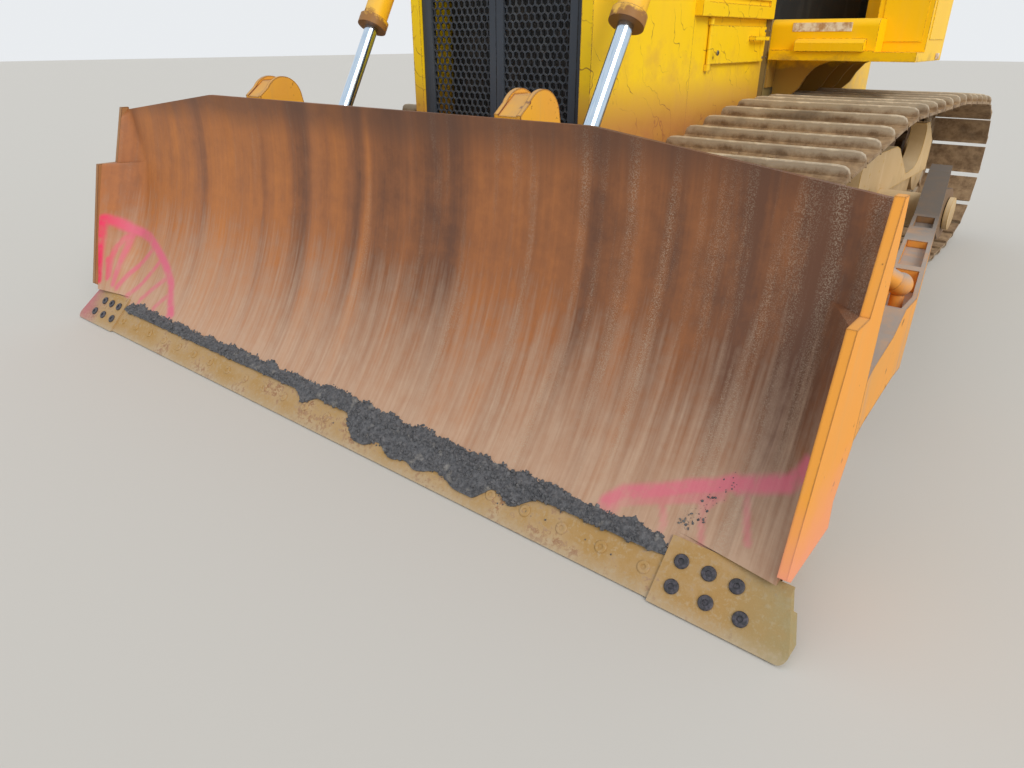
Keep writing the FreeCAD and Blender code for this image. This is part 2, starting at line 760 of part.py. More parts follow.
# Track frame: a box with side plates for the rollers, an idler fork, carrier posts and the trunnion
frame_in = track_x - s.frame_half_width
frame_out = track_x + s.frame_half_width
frame_front = idler_y + 310
frame_rear = sprocket_y - 430
trunnion_y = station(s.trunnion_station)
trunnion_z = s.trunnion_height
frame_pieces = [
    block("frame_box", (frame_in, frame_out), (frame_front, frame_rear), (s.frame_bottom, s.frame_top)),
]
side_plate_outline = [
    (first_roller_y - 150, s.frame_bottom - 175),
    (last_roller_y + 90, s.frame_bottom - 175),
    (frame_rear, s.frame_bottom - 60),
    (frame_rear, s.frame_bottom + 40),
    (frame_front - 60, s.frame_bottom + 40),
    (frame_front - 60, s.frame_bottom - 60),
]
fork_round = Size(95, "(95)")
fork_outline = [
    (idler_y, idler_z - fork_round, fork_round),
    (frame_front + 60, s.frame_bottom),
    (frame_front + 60, s.frame_top),
    (idler_y + 120, idler_z + 130),
    (idler_y, idler_z + fork_round),
]
for side, low, high in (("inner", frame_in, frame_in + s.frame_wall),
                        ("outer", frame_out - s.frame_wall, frame_out)):
    frame_pieces.append(plate(f"roller_plate_{side}", "YZ", low, high, side_plate_outline))
fork_width = s.frame_half_width - rail_outside - s.side_clearance
for side, low, high in (("inner", frame_in, frame_in + fork_width),
                        ("outer", frame_out - fork_width, frame_out)):
    frame_pieces.append(plate(f"idler_fork_{side}", "YZ", low, high, fork_outline))
frame_pieces.append(bar("idler_axle", idler_axle - s.seat_gap, "x", frame_in, frame_out, idler_y, idler_z))
post_outline_half = Size(55, "(55)")
for index, post_y in enumerate((front_carrier_y, rear_carrier_y)):
    post = plate(f"carrier_post_{index + 1}", "YZ", frame_in, frame_in + s.frame_wall, [
        (post_y - post_outline_half * 2, s.frame_top - 5),
        (post_y + post_outline_half * 2, s.frame_top - 5),
        (post_y + post_outline_half, s.carrier_height),
        (post_y - post_outline_half, s.carrier_height, post_outline_half),
    ])
    frame_pieces.append(post)
frame_pieces.append(bar("trunnion_beam", s.trunnion_radius + 35, "x", frame_out - 10,
                        s.arm_inside - s.side_clearance, trunnion_y, trunnion_z))
frame_pieces.append(bar("trunnion", s.trunnion_radius, "x", frame_out,
                        s.arm_inside + s.arm_width + s.side_clearance, trunnion_y, trunnion_z))
frame_pieces.append(bar("trunnion_cap", s.trunnion_radius + 30, "x",
                        s.arm_inside + s.arm_width + s.side_clearance,
                        s.arm_inside + s.arm_width + s.side_clearance + 25, trunnion_y, trunnion_z))
bar_seat_y = idler_y + s.bar_behind_idler
frame_pieces.append(block("bar_seat", (frame_in, frame_in + 140), (bar_seat_y - 90, bar_seat_y + 90),
                          (s.frame_top - 5, s.frame_top + 20)))
casting_in = track_x + rail_outside + 20
casting_out = frame_out + 60
frame_pieces.append(plate("recoil_casting", "YZ", casting_in, casting_out, [
    (station(2850), s.frame_top - 60),
    (station(3950), s.frame_top - 60),
    (station(3950), s.frame_top - 15),
    (station(3640), s.frame_top + 175),
    (station(3560), s.frame_top + 195),
    (station(2950), s.frame_top + 195),
    (station(2850), s.frame_top + 95, 100),
]))
frame_pieces.append(plate("rear_casting", "YZ", casting_in, casting_out, [
    (station(3940), s.frame_top - 60),
    (station(4560), s.frame_top - 60),
    (station(4560), s.frame_top + 140),
    (station(4360), s.frame_top + 275),
    (station(4230), s.frame_top + 275),
    (station(4305), s.frame_top + 190, -90),
    (station(4110), s.frame_top - 5, -190),
    (station(3940), s.frame_top - 15),
]))
track_frame_left = fuse("track_frame", frame_pieces)
keep("track_frame_left", track_frame_left)
keep("track_frame_right", mirrored("track_frame_right_copy", track_frame_left))

# Main frame: a closed box hull with a deck plate, a slot for the equalizer bar and the drawbar's bracket
hull_front_y = station(s.hull_front)
hull_rear_y = station(s.hull_rear)
hull = plate("hull", "YZ", -s.hull_half_width, s.hull_half_width, [
    (hull_front_y, s.hull_top - 300),
    (hull_front_y + 180, s.ground_clearance),
    (hull_rear_y - 420, s.ground_clearance),
    (hull_rear_y, s.ground_clearance + 130),
    (hull_rear_y, s.hull_top),
    (hull_front_y, s.hull_top),
])
deck_top = s.hull_top + s.deck_plate
deck = block("deck", (-s.guard_half_width, s.guard_half_width), (station(s.guard_front), hull_rear_y),
             (s.hull_top, deck_top))
bar_half_depth = Size(75, "(75)")
bar_bottom = s.frame_top + 20 + s.seat_gap
bar_top = bar_bottom + 120
slot = block("bar_slot", (-s.hull_half_width - 1, s.hull_half_width + 1),
             (bar_seat_y - bar_half_depth - 25, bar_seat_y + bar_half_depth + 25),
             (bar_bottom - 30, bar_top + 30))
main_frame = cut("hull_slotted", fuse("hull_with_deck", [hull, deck]), slot)
keep("main_frame", main_frame)

# Equalizer bar: hangs on a fore-and-aft pin in the hull and rests on both track frames
bar_reach = frame_in + 110
equalizer = plate("equalizer", "XZ", bar_seat_y - bar_half_depth, bar_seat_y + bar_half_depth, [
    (-bar_reach, bar_bottom),
    (bar_reach, bar_bottom),
    (bar_reach, bar_bottom + 60),
    (Size(300, "(300)"), bar_top),
    (Size(-300, "(-300)"), bar_top),
    (-bar_reach, bar_bottom + 60),
])
equalizer_pin = bar("equalizer_pin", 35, "y", bar_seat_y - bar_half_depth - 25,
                    bar_seat_y + bar_half_depth + 25, 0, bar_bottom + 60)
keep("equalizer_bar", fuse("equalizer_pinned", [equalizer, equalizer_pin]))

# Pivot shaft and final drives: they carry the track frames and the sprockets on the hull
pivot_y = sprocket_y - s.pivot_ahead
pivot_z = s.frame_bottom + 110
pivots = []
for name, low, high in (("left", s.hull_half_width, frame_in), ("right", -frame_in, -s.hull_half_width)):
    pivots.append(bar(f"pivot_{name}", 80, "x", low, high, pivot_y, pivot_z))
keep("pivot_shafts", group("pivot_pair", pivots))
drive_hub = track_x + half_ring
drive = fuse("drive_case", [
    bar("drive_barrel", final_drive_radius, "x", s.hull_half_width, drive_hub + 20, sprocket_y, s.sprocket_height),
    bar("drive_flange", final_drive_radius + 45, "x", drive_hub + s.seat_gap, drive_hub + 20,
        sprocket_y, s.sprocket_height),
    bar("drive_cover", 190, "x", drive_hub + 20, drive_hub + 75, sprocket_y, s.sprocket_height),
])
keep("final_drive_left", drive)
keep("final_drive_right", mirrored("final_drive_right_copy", drive))

# Drawbar: two ears with a vertical pin bore on a block at the hull's rear
drawbar_y = station(s.drawbar_pin_station)
ear_root = hull_rear_y
ear_half = Size(75, "(75)")
ear_round = Size(74, "(74)")
ear_levels = [
    (s.drawbar_height - s.drawbar_gap / 2 - s.drawbar_ear, s.drawbar_height - s.drawbar_gap / 2),
    (s.drawbar_height + s.drawbar_gap / 2, s.drawbar_height + s.drawbar_gap / 2 + s.drawbar_ear),
]
drawbar_pieces = [block("drawbar_block", (-ear_half * 2, ear_half * 2), (ear_root, ear_root + 60),
                        (ear_levels[0][0] - 30, ear_levels[1][1] + 30))]
for index, (low, high) in enumerate(ear_levels):
    drawbar_pieces.append(plate(f"drawbar_ear_{index + 1}", "XY", low, high, [
        (-ear_half, ear_root + 50),
        (ear_half, ear_root + 50),
        (ear_round, drawbar_y),
        (-ear_round, drawbar_y, ear_round),
    ]))
drawbar = cut("drawbar_bored", fuse("drawbar_whole", drawbar_pieces),
              bar("drawbar_pin_hole", s.drawbar_bore, "z", ear_levels[0][0] - 5, ear_levels[1][1] + 5,
                  0, drawbar_y))
keep("drawbar", drawbar)

# Engine: one plain block on the deck, with the radiator in front of it
engine_half = s.hull_half_width - s.engine_margin
engine = block("engine", (-engine_half, engine_half), (station(s.guard_rear - 300), station(s.hood_rear - 160)),
               (deck_top, deck_top + s.engine_height))
keep("engine_block", engine)
radiator_half = s.guard_half_width - s.radiator_margin
radiator_y = station(s.guard_front) + s.radiator_behind
radiator = block("radiator", (-radiator_half, radiator_half), (radiator_y, radiator_y + s.radiator_depth),
                 (deck_top, s.guard_top - 80))
keep("radiator_core", radiator)

# Radiator guard: thick side plates, a top, a sill and the face's two narrow strips
guard_y = station(s.guard_front)
guard_rear_y = station(s.guard_rear)
guard_pieces = []
for name, low, high in (("left", s.guard_half_width - s.guard_wall, s.guard_half_width),
                        ("right", -s.guard_half_width, s.guard_wall - s.guard_half_width)):
    guard_pieces.append(plate(f"guard_side_{name}", "YZ", low, high, [
        (guard_y, deck_top),
        (guard_rear_y, deck_top),
        (guard_rear_y, s.guard_top),
        (guard_y + 60, s.guard_top),
        (guard_y, s.guard_top - 60, 60),
    ]))
for name, low, high in (("left", s.grille_half_width, s.guard_half_width - 5),
                        ("right", 5 - s.guard_half_width, -s.grille_half_width)):
    guard_pieces.append(block(f"guard_strip_{name}", (low, high), (guard_y, guard_y + s.guard_wall),
                              (deck_top, s.guard_top - 60)))
guard_pieces.append(block("guard_top", (5 - s.guard_half_width, s.guard_half_width - 5),
                          (guard_y + 60, guard_rear_y), (s.guard_top - s.guard_wall, s.guard_top)))
guard_pieces.append(block("guard_brow", (-s.grille_half_width - 5, s.grille_half_width + 5),
                          (guard_y, guard_y + 70), (s.guard_top - 130, s.guard_top - 55)))
guard_pieces.append(block("guard_sill", (-s.grille_half_width - 5, s.grille_half_width + 5),
                          (guard_y, guard_y + 60), (deck_top, s.grille_bottom)))
band_radius = s.barrel_radius + 16
pivot_boss_reach = s.lift_side - band_radius - s.side_clearance
lift_y = station(s.lift_pivot_station)
lift_z = s.lift_pivot_height
lift_trunnion = Size(38, "(38)")
for side, sign in (("left", 1), ("right", -1)):
    ends = sorted(((s.guard_half_width - 5) * sign, pivot_boss_reach * sign), key=lambda size: size.number)
    guard_pieces.append(bar(f"lift_boss_{side}", 80, "x", ends[0], ends[1], lift_y, lift_z))
guard_whole = fuse("guard_whole", guard_pieces)
boss_bores = fuse("boss_bores", [
    bar("boss_bore_left", lift_trunnion + s.pin_clearance, "x", s.guard_half_width + 20,
        pivot_boss_reach + 1, lift_y, lift_z),
    bar("boss_bore_right", lift_trunnion + s.pin_clearance, "x", -pivot_boss_reach - 1,
        -s.guard_half_width - 20, lift_y, lift_z),
])
keep("radiator_guard", cut("guard_bored", guard_whole, boss_bores))

# Grille: two dark screens in one frame with a bar on the centre line
grille_y = guard_y + 12
grille_top = s.guard_top - 130
grille_reach = s.grille_half_width - 1
grille_pieces = []
screen_low = s.grille_frame / 2 - 2
for side, low, high in (("left", screen_low, grille_reach - s.grille_frame + 2),
                        ("right", s.grille_frame - 2 - grille_reach, -screen_low)):
    grille_pieces.append(block(f"screen_{side}", (low, high),
                               (grille_y + s.grille_depth - 10, grille_y + s.grille_depth - 4),
                               (s.grille_bottom + s.grille_frame - 2, grille_top - s.grille_frame + 2)))
for name, low, high in (("left", grille_reach - s.grille_frame, grille_reach),
                        ("middle", -s.grille_frame / 2, s.grille_frame / 2),
                        ("right", -grille_reach, s.grille_frame - grille_reach)):
    grille_pieces.append(block(f"grille_bar_{name}", (low, high), (grille_y, grille_y + s.grille_depth),
                               (s.grille_bottom, grille_top)))
for name, low, high in (("lower", s.grille_bottom, s.grille_bottom + s.grille_frame),
                        ("upper", grille_top - s.grille_frame, grille_top)):
    grille_pieces.append(block(f"grille_rail_{name}", (-grille_reach, grille_reach),
                               (grille_y, grille_y + s.grille_depth), (low, high)))


def hexagon_holes(low, high, bottom, top):
    """Staggered six-sided holes through a screen, as one cutting tool."""
    pitch = s.hole_pitch.number
    radius = pitch * 0.52
    row_height = pitch * math.sqrt(3) / 2
    middle = grille_y.number
    holes = []
    for row in range(int((top - bottom - pitch) / row_height) + 1):
        height = bottom + pitch / 2 + 6 + row * row_height
        across = low + pitch / 2 + 6 + (pitch / 2 if row % 2 else 0)
        while across + radius + 6 <= high:
            corners = []
            for step in range(7):
                turn = math.radians(60 * step + 30)
                corners.append(Vector(across + radius * math.cos(turn), middle, height + radius * math.sin(turn)))
            hexagon = Part.Face(Part.makePolygon(corners))
            holes.append(hexagon.extrude(Vector(0, s.grille_depth.number + 5, 0)))
            across += pitch
    return holes


holes = []
for low, high in ((screen_low, grille_reach - s.grille_frame), (s.grille_frame - grille_reach, -screen_low)):
    holes += hexagon_holes(low.number, high.number, (s.grille_bottom + s.grille_frame).number,
                           (grille_top - s.grille_frame).number)
screen_holes = doc.addObject("Part::Feature", "screen_holes")
screen_holes.Shape = Part.makeCompound(holes)
keep("grille", cut("grille_pierced", fuse("grille_whole", grille_pieces), screen_holes))

# Hood: the sheet over the engine, with its louvred sides
hood_rear_y = station(s.hood_rear)
side_panel_face = s.guard_half_width
hood_pieces = [
    block("hood_sheet", (-s.guard_half_width, s.guard_half_width), (guard_rear_y, hood_rear_y),
          (s.guard_top - s.guard_wall, s.guard_top)),
]
for side, sign in (("left", 1), ("right", -1)):
    ends = sorted(((side_panel_face - s.panel_wall) * sign, (side_panel_face + s.louvre_depth) * sign),
                  key=lambda size: size.number)
    hood_pieces.append(block(f"louvre_box_{side}", (ends[0], ends[1]), (guard_rear_y + s.seat_gap, hood_rear_y),
                             (s.louvre_bottom, s.guard_top - 20)))
louvres = []
louvre_half = Size(13, "(13)")
for side, sign in (("left", 1), ("right", -1)):
    ends = sorted(((side_panel_face + s.louvre_depth - 10) * sign, (side_panel_face + s.louvre_depth + 1) * sign),
                  key=lambda size: size.number)
    for index in range(3):
        middle_z = s.louvre_bottom + 75 + 62 * index
        louvres.append(block(f"louvre_{side}_{index + 1}", (ends[0], ends[1]), (guard_rear_y + 70, hood_rear_y - 70),
                             (middle_z - louvre_half, middle_z + louvre_half)))
keep("hood", cut("hood_slotted", fuse("hood_whole", hood_pieces), fuse("louvres", louvres)))

# Engine side panels: a sheet with an opening, and knuckles for the access door's hinge pin
panel_in = side_panel_face - s.panel_wall
door_y = (station(s.door_front), station(s.door_rear))
door_z = (s.door_bottom, s.door_top)
door_leaf_x = (side_panel_face + s.door_gap, side_panel_face + s.door_gap + s.door_leaf)
door_hinge_x = side_panel_face + s.door_gap + s.door_leaf / 2
knuckle_radius = s.hinge_pin_radius + 5
knuckle_pieces = [
    block("panel_sheet", (panel_in, side_panel_face), (guard_rear_y, hood_rear_y),
          (deck_top, s.louvre_bottom - s.seat_gap)),
]
for name, low, high in (("lower", door_z[0] - s.knuckle_length, door_z[0] - s.seat_gap),
                        ("upper", door_z[1] + s.seat_gap, door_z[1] + s.knuckle_length)):
    knuckle_pieces.append(bar(f"panel_knuckle_{name}", knuckle_radius, "z", low, high, door_hinge_x, door_y[0]))
    knuckle_pieces.append(block(f"panel_knuckle_foot_{name}", (side_panel_face - 2, door_hinge_x),
                                (door_y[0] - knuckle_radius, door_y[0] + knuckle_radius), (low, high)))
panel_cuts = fuse("panel_cuts", [
    block("panel_opening", (panel_in - 20, side_panel_face + 1), (door_y[0] + 25, door_y[1] - 25),
          (door_z[0] + 25, door_z[1] - 25)),
    bar("panel_hinge_hole", s.hinge_pin_radius + s.pin_clearance, "z", door_z[0] - s.knuckle_length - 1,
        door_z[1] + s.knuckle_length + 1, door_hinge_x, door_y[0]),
])
panel_left = cut("panel_fitted", fuse("panel_whole", knuckle_pieces), panel_cuts)
keep("side_panel_left", panel_left)
keep("side_panel_right", mirrored("side_panel_right_copy", panel_left))
door_left = fuse("engine_door", [
    block("door_leaf", door_leaf_x, door_y, door_z),
    bar("door_hinge", s.hinge_pin_radius, "z", door_z[0] - s.knuckle_length, door_z[1] + s.knuckle_length,
        door_hinge_x, door_y[0]),
    block("door_grip", (door_leaf_x[1] + 22, door_leaf_x[1] + 36), (door_y[1] - 230, door_y[1] - 30),
          (door_z[1] - 70, door_z[1] - 50)),
    block("door_grip_foot_1", (door_leaf_x[1] - 2, door_leaf_x[1] + 36), (door_y[1] - 230, door_y[1] - 214),
          (door_z[1] - 70, door_z[1] - 50)),
    block("door_grip_foot_2", (door_leaf_x[1] - 2, door_leaf_x[1] + 36), (door_y[1] - 46, door_y[1] - 30),
          (door_z[1] - 70, door_z[1] - 50)),
])
keep("engine_door_left", door_left)
keep("engine_door_right", mirrored("engine_door_right_copy", door_left))

# Exhaust stack and air cleaner on the hood
exhaust_x = Size(230, "(230)")
exhaust_y = station(2450)
exhaust = cut("exhaust_bored", fuse("exhaust_whole", [
    bar("exhaust_pipe", 62, "z", s.guard_top, s.guard_top + 620, exhaust_x, exhaust_y),
    bar("exhaust_foot", 95, "z", s.guard_top, s.guard_top + 25, exhaust_x, exhaust_y),
]), bar("exhaust_bore", 54, "z", s.guard_top + 120, s.guard_top + 621, exhaust_x, exhaust_y))
keep("exhaust_stack", exhaust)
cleaner = fuse("cleaner", [
    bar("cleaner_stem", 70, "z", s.guard_top, s.guard_top + 260, -exhaust_x, exhaust_y + 60),
    bar("cleaner_bowl", 150, "z", s.guard_top + 180, s.guard_top + 380, -exhaust_x, exhaust_y + 60),
    bar("cleaner_cap", 165, "z", s.guard_top + 380, s.guard_top + 410, -exhaust_x, exhaust_y + 60),
])
keep("air_precleaner", cleaner)

# Fenders: a platform beside the cab, a mudguard with turned-down lips over the track, ribs and a toolbox
fender_y = station(s.fender_front)
fender_rear_y = station(s.fender_rear)
toolbox_y = (station(s.box_front), station(s.toolbox_rear))
mudguard_y = (station(s.mudguard_front), toolbox_y[1])
lip_depth = Size(46, "(46)")
rib_inside = s.fender_inside + 10
rib_outline_across = [
    (rib_inside, s.mudguard_top - 260),
    (s.fender_inside + 110, s.mudguard_top - 250),
    (s.fender_inside + 165, s.mudguard_top - 200),
    (s.fender_inside + 195, s.mudguard_top - 140),
    (s.fender_inside + 240, s.mudguard_top - 85),
    (s.fender_inside + 330, s.mudguard_top - lip_depth),
    (s.fender_inside + 330, s.mudguard_top + 6),
    (rib_inside, s.mudguard_top + 6),
]
fender_pieces = [
    plate("fender_platform", "YZ", s.fender_inside, s.fender_outside, [
        (fender_y, s.fender_bottom),
        (fender_rear_y, s.fender_bottom),
        (fender_rear_y, s.platform_height),
        (fender_y + 40, s.platform_height),
        (fender_y, s.platform_height - 40, 40),
    ]),
    plate("small_step", "YZ", s.fender_inside + 155, s.fender_inside + 525, [
        (fender_y + 5, s.fender_bottom - 2),
        (fender_y + 5, s.fender_bottom + 62),
        (fender_y - 32, s.fender_bottom + 52),
        (fender_y - 42, s.fender_bottom + 40),
        (fender_y - 42, s.fender_bottom - 2),
    ]),
    block("mudguard", (s.fender_inside + 10, s.toolbox_outside), mudguard_y, (s.mudguard_top - 10, s.mudguard_top)),
    block("mudguard_front_lip", (s.fender_inside + 10, s.toolbox_outside), (mudguard_y[0], mudguard_y[0] + 10),
          (s.mudguard_top - lip_depth, s.mudguard_top)),
    block("mudguard_outer_lip", (s.toolbox_outside - 10, s.toolbox_outside), mudguard_y,
          (s.mudguard_top - lip_depth, s.mudguard_top)),
    block("mudguard_link", (s.fender_inside + 10, s.fender_outside), (fender_y - 25, toolbox_y[1]),
          (s.mudguard_top - 2, s.fender_bottom + 2)),
    block("side_box", (s.cab_half_width + s.box_clearance, s.fender_outside), (toolbox_y[1] - 5, fender_rear_y),
          (s.platform_height - 5, s.box_height)),
    plate("toolbox", "YZ", s.toolbox_inside, s.toolbox_outside, [
        (toolbox_y[0], s.mudguard_top - 2),
        (toolbox_y[1], s.mudguard_top - 2),
        (toolbox_y[1], s.toolbox_top),
        (toolbox_y[0] + 45, s.toolbox_top),
        (toolbox_y[0], s.toolbox_top - 45, 45),
    ]),
    block("fender_apron", (s.fender_inside, s.fender_inside + 12), (fender_y, fender_rear_y),
          (s.hull_top + 260, s.fender_bottom + 20)),
]
for index, rib_y in enumerate((fender_y + 110, fender_y + 540, fender_y + 850, fender_y + 1120)):
    fender_pieces.append(plate(f"fender_rib_{index + 1}", "XZ", rib_y, rib_y + 14, rib_outline_across))
fender_left = fuse("fender", fender_pieces)
keep("fender_left", fender_left)
keep("fender_right", mirrored("fender_right_copy", fender_left))

# Cab base: the closed housing between the fenders that carries the cab's floor
cab_y = station(s.cab_front)
cab_rear_y = station(s.cab_rear)
base_reach = s.fender_inside - s.seat_gap
base_outer = block("base_outer", (-base_reach, base_reach), (hood_rear_y, cab_rear_y), (deck_top, s.platform_height))
base_inner = block("base_inner", (30 - base_reach, base_reach - 30), (hood_rear_y + 30, cab_rear_y - 30),
                   (deck_top - 1, s.platform_height - 40))
keep("cab_base", cut("base_hollow", base_outer, base_inner))

# Cab: a shell with slanted front corners, windows and door openings
cab_floor = s.platform_height + s.seat_gap


def cab_plan(inset):
    """The cab's outline seen from above, drawn in by inset."""
    corner = inset * 0.55
    return [
        (s.cab_front_half_width - corner, cab_y + inset),
        (s.cab_half_width - inset, station(s.cab_corner_rear) + corner),
        (s.cab_half_width - inset, cab_rear_y - inset),
        (inset - s.cab_half_width, cab_rear_y - inset),
        (inset - s.cab_half_width, station(s.cab_corner_rear) + corner),
        (corner - s.cab_front_half_width, cab_y + inset),
    ]


cab_shell = cut("cab_hollow", plate("cab_outer", "XY", cab_floor, s.cab_height, cab_plan(Size(0, "(0)"))),
                plate("cab_inner", "XY", cab_floor + 40, s.cab_height + 1, cab_plan(s.cab_wall)))
pillar = Size(60, "(60)")
openings = [
    block("front_window", (pillar - s.cab_front_half_width, s.cab_front_half_width - pillar),
          (cab_y - 10, cab_y + s.cab_wall + 10), (s.window_bottom, s.window_top)),
    block("rear_window", (-s.cab_half_width * 0.72, s.cab_half_width * 0.72),
          (cab_rear_y - s.cab_wall - 10, cab_rear_y + 10), (s.window_bottom, s.window_top)),
]
corner_rear_y = station(s.cab_corner_rear)
span_x = s.cab_half_width - s.cab_front_half_width
span_y = corner_rear_y - cab_y
corner_window = [
    (s.cab_front_half_width + span_x * 0.16, cab_y + span_y * 0.16),
    (s.cab_front_half_width + span_x * 0.86, cab_y + span_y * 0.86),
]
for side, sign in (("left", 1), ("right", -1)):
    near_x, near_y = corner_window[0]
    far_x, far_y = corner_window[1]
    openings.append(plate(f"corner_window_{side}", "XY", s.window_bottom, s.window_top, [
        (near_x * sign, near_y - 90),
        (far_x * sign, far_y - 90),
        (far_x * sign, far_y + 110),
        (near_x * sign, near_y + 110),
    ]))
    walls = sorted(((s.cab_half_width - s.cab_wall - 10) * sign, (s.cab_half_width + 10) * sign),
                   key=lambda size: size.number)
    openings.append(block(f"door_opening_{side}", (walls[0], walls[1]),
                          (station(s.cab_door_front), station(s.cab_door_rear)),
                          (s.cab_door_bottom, s.cab_door_top)))
hinge_x = s.cab_half_width + 16
hinge_y = station(s.cab_door_rear) + 2
lug_heights = (s.cab_door_bottom + 180, s.cab_door_top - 180)
lug_half = Size(30, "(30)")
lug_radius = s.hinge_pin_radius + 6
knuckles = []
knuckle_holes = []
for number, lug_z in enumerate(lug_heights, start=1):
    for side, sign in (("left", 1), ("right", -1)):
        foot = sorted(((s.cab_half_width - 2) * sign, hinge_x * sign), key=lambda size: size.number)
        for name, low, high in (("lower", lug_z - lug_half - s.knuckle_length, lug_z - lug_half - s.seat_gap),
                                ("upper", lug_z + lug_half + s.seat_gap, lug_z + lug_half + s.knuckle_length)):
            tag = f"{side}_{name}_{number}"
            knuckles.append(bar(f"cab_knuckle_{tag}", lug_radius, "z", low, high, hinge_x * sign, hinge_y))
            knuckles.append(block(f"cab_knuckle_foot_{tag}", foot, (hinge_y, hinge_y + 45), (low, high)))
        knuckle_holes.append(bar(f"cab_hinge_hole_{side}_{number}", s.hinge_pin_radius + s.pin_clearance, "z",
                                 lug_z - lug_half - s.knuckle_length - 1, lug_z + lug_half + s.knuckle_length + 1,
                                 hinge_x * sign, hinge_y))
cab_open = cut("cab_open", cab_shell, fuse("cab_openings", openings))
keep("cab_shell", cut("cab_bored", fuse("cab_with_knuckles", [cab_open] + knuckles),
                      fuse("knuckle_holes", knuckle_holes)))

# Roof with a rounded rim
roof = plate("roof", "XY", s.cab_height, s.cab_height + s.roof_thickness, cab_plan(-s.roof_overhang))
lamp_radius = Size(62, "(62)")
roof_pieces = [roof]
for side, sign in (("left", 1), ("right", -1)):
    for index, lamp_x in enumerate((250, 400)):
        lamp_name = f"roof_lamp_{side}_{index + 1}"
        roof_pieces.append(bar(lamp_name, lamp_radius, "y", cab_y - s.roof_overhang - 105, cab_y - s.roof_overhang - 25,
                               lamp_x * sign, s.cab_height + 30))
        roof_pieces.append(bar(lamp_name + "_stem", 24, "y", cab_y - s.roof_overhang - 30,
                               cab_y - s.roof_overhang + 5, lamp_x * sign, s.cab_height + 40))
keep("cab_roof", fuse("roof_with_lamps", roof_pieces))

# Window panes
pane = s.glass_thickness
seat_gap = s.seat_gap
pane_z = (s.window_bottom + seat_gap, s.window_top - seat_gap)
front_reach = s.cab_front_half_width - pillar - seat_gap
rear_reach = s.cab_half_width * 0.72 - seat_gap
panes = [
    block("front_pane", (-front_reach, front_reach), (cab_y + 20, cab_y + 20 + pane), pane_z),
    block("rear_pane", (-rear_reach, rear_reach), (cab_rear_y - 30, cab_rear_y - 30 + pane), pane_z),
]
for side, sign in (("left", 1), ("right", -1)):
    near_x, near_y = corner_window[0]
    far_x, far_y = corner_window[1]
    panes.append(plate(f"corner_pane_{side}", "XY", pane_z[0], pane_z[1], [
        ((near_x + seat_gap) * sign, near_y + 26),
        ((far_x - seat_gap) * sign, far_y + 26),
        ((far_x - seat_gap) * sign, far_y + 26 + pane * 1.5),
        ((near_x + seat_gap) * sign, near_y + 26 + pane * 1.5),
    ]))
keep("cab_glass", group("panes", panes))

# Seat, console and levers
seat_y = cab_rear_y - s.seat_ahead
seat_half = s.seat_half_width
seat = fuse("seat_whole", [
    block("seat_pedestal", (50 - seat_half, seat_half - 50), (seat_y - 180, seat_y + 180),
          (cab_floor + 40.3, cab_floor + 330)),
    block("seat_cushion", (-seat_half, seat_half), (seat_y - 260, seat_y + 240), (cab_floor + 320, cab_floor + 450)),
    block("seat_back", (10 - seat_half, seat_half - 10), (seat_y + 190, seat_y + 300),
          (cab_floor + 440, cab_floor + 1000)),
])
keep("operator_seat", seat)
console = fuse("console_whole", [
    block("dash", (130 - s.console_reach, s.console_reach - 130), (cab_y + 90, cab_y + 260),
          (cab_floor + 40.3, cab_floor + 560)),
    block("console_left", (seat_half + 50, s.console_reach), (seat_y - 260, seat_y + 240),
          (cab_floor + 40.3, cab_floor + 560)),
    block("console_right", (-s.console_reach, -seat_half - 50), (seat_y - 260, seat_y + 240),
          (cab_floor + 40.3, cab_floor + 560)),
])
keep("console", console)

# Cab doors: a framed pane on two hinges at the rear edge
door_play = s.door_play
door_face = s.cab_half_width - 2
cab_door_y = (station(s.cab_door_front) + door_play, station(s.cab_door_rear) - door_play)
cab_door_z = (s.cab_door_bottom + door_play, s.cab_door_top - door_play)
door_window_y = (cab_door_y[0] + s.door_frame, cab_door_y[1] - s.door_frame)
door_window_z = (cab_door_z[0] + s.door_frame, cab_door_z[1] - s.door_frame)
cab_door = cut("cab_door_open",
               block("cab_door_leaf", (door_face - s.door_depth, door_face), cab_door_y, cab_door_z),
               block("cab_door_window", (door_face - s.door_depth - 1, door_face + 1), door_window_y, door_window_z))
cab_door_pieces = [
    cab_door,
    block("cab_door_pane", (door_face - 24, door_face - 24 + pane), (door_window_y[0] - 4, door_window_y[1] + 4),
          (door_window_z[0] - 4, door_window_z[1] + 4)),
]
for number, lug_z in enumerate(lug_heights, start=1):
    cab_door_pieces.append(block(f"cab_door_lug_{number}", (door_face - 2, hinge_x), (hinge_y - 70, hinge_y - 12),
                                 (lug_z - lug_half, lug_z + lug_half)))
    cab_door_pieces.append(block(f"cab_door_lug_arm_{number}", (s.cab_half_width + 1, hinge_x + lug_radius),
                                 (hinge_y - 60, hinge_y), (lug_z - lug_half, lug_z + lug_half)))
    cab_door_pieces.append(bar(f"cab_door_lug_round_{number}", lug_radius, "z", lug_z - lug_half,
                               lug_z + lug_half, hinge_x, hinge_y))
    cab_door_pieces.append(bar(f"cab_door_pin_{number}", s.hinge_pin_radius, "z",
                               lug_z - lug_half - s.knuckle_length, lug_z + lug_half + s.knuckle_length,
                               hinge_x, hinge_y))
cab_door_left = fuse("cab_door_hung", cab_door_pieces)
keep("cab_door_left", cab_door_left)
keep("cab_door_right", mirrored("cab_door_right_copy", cab_door_left))

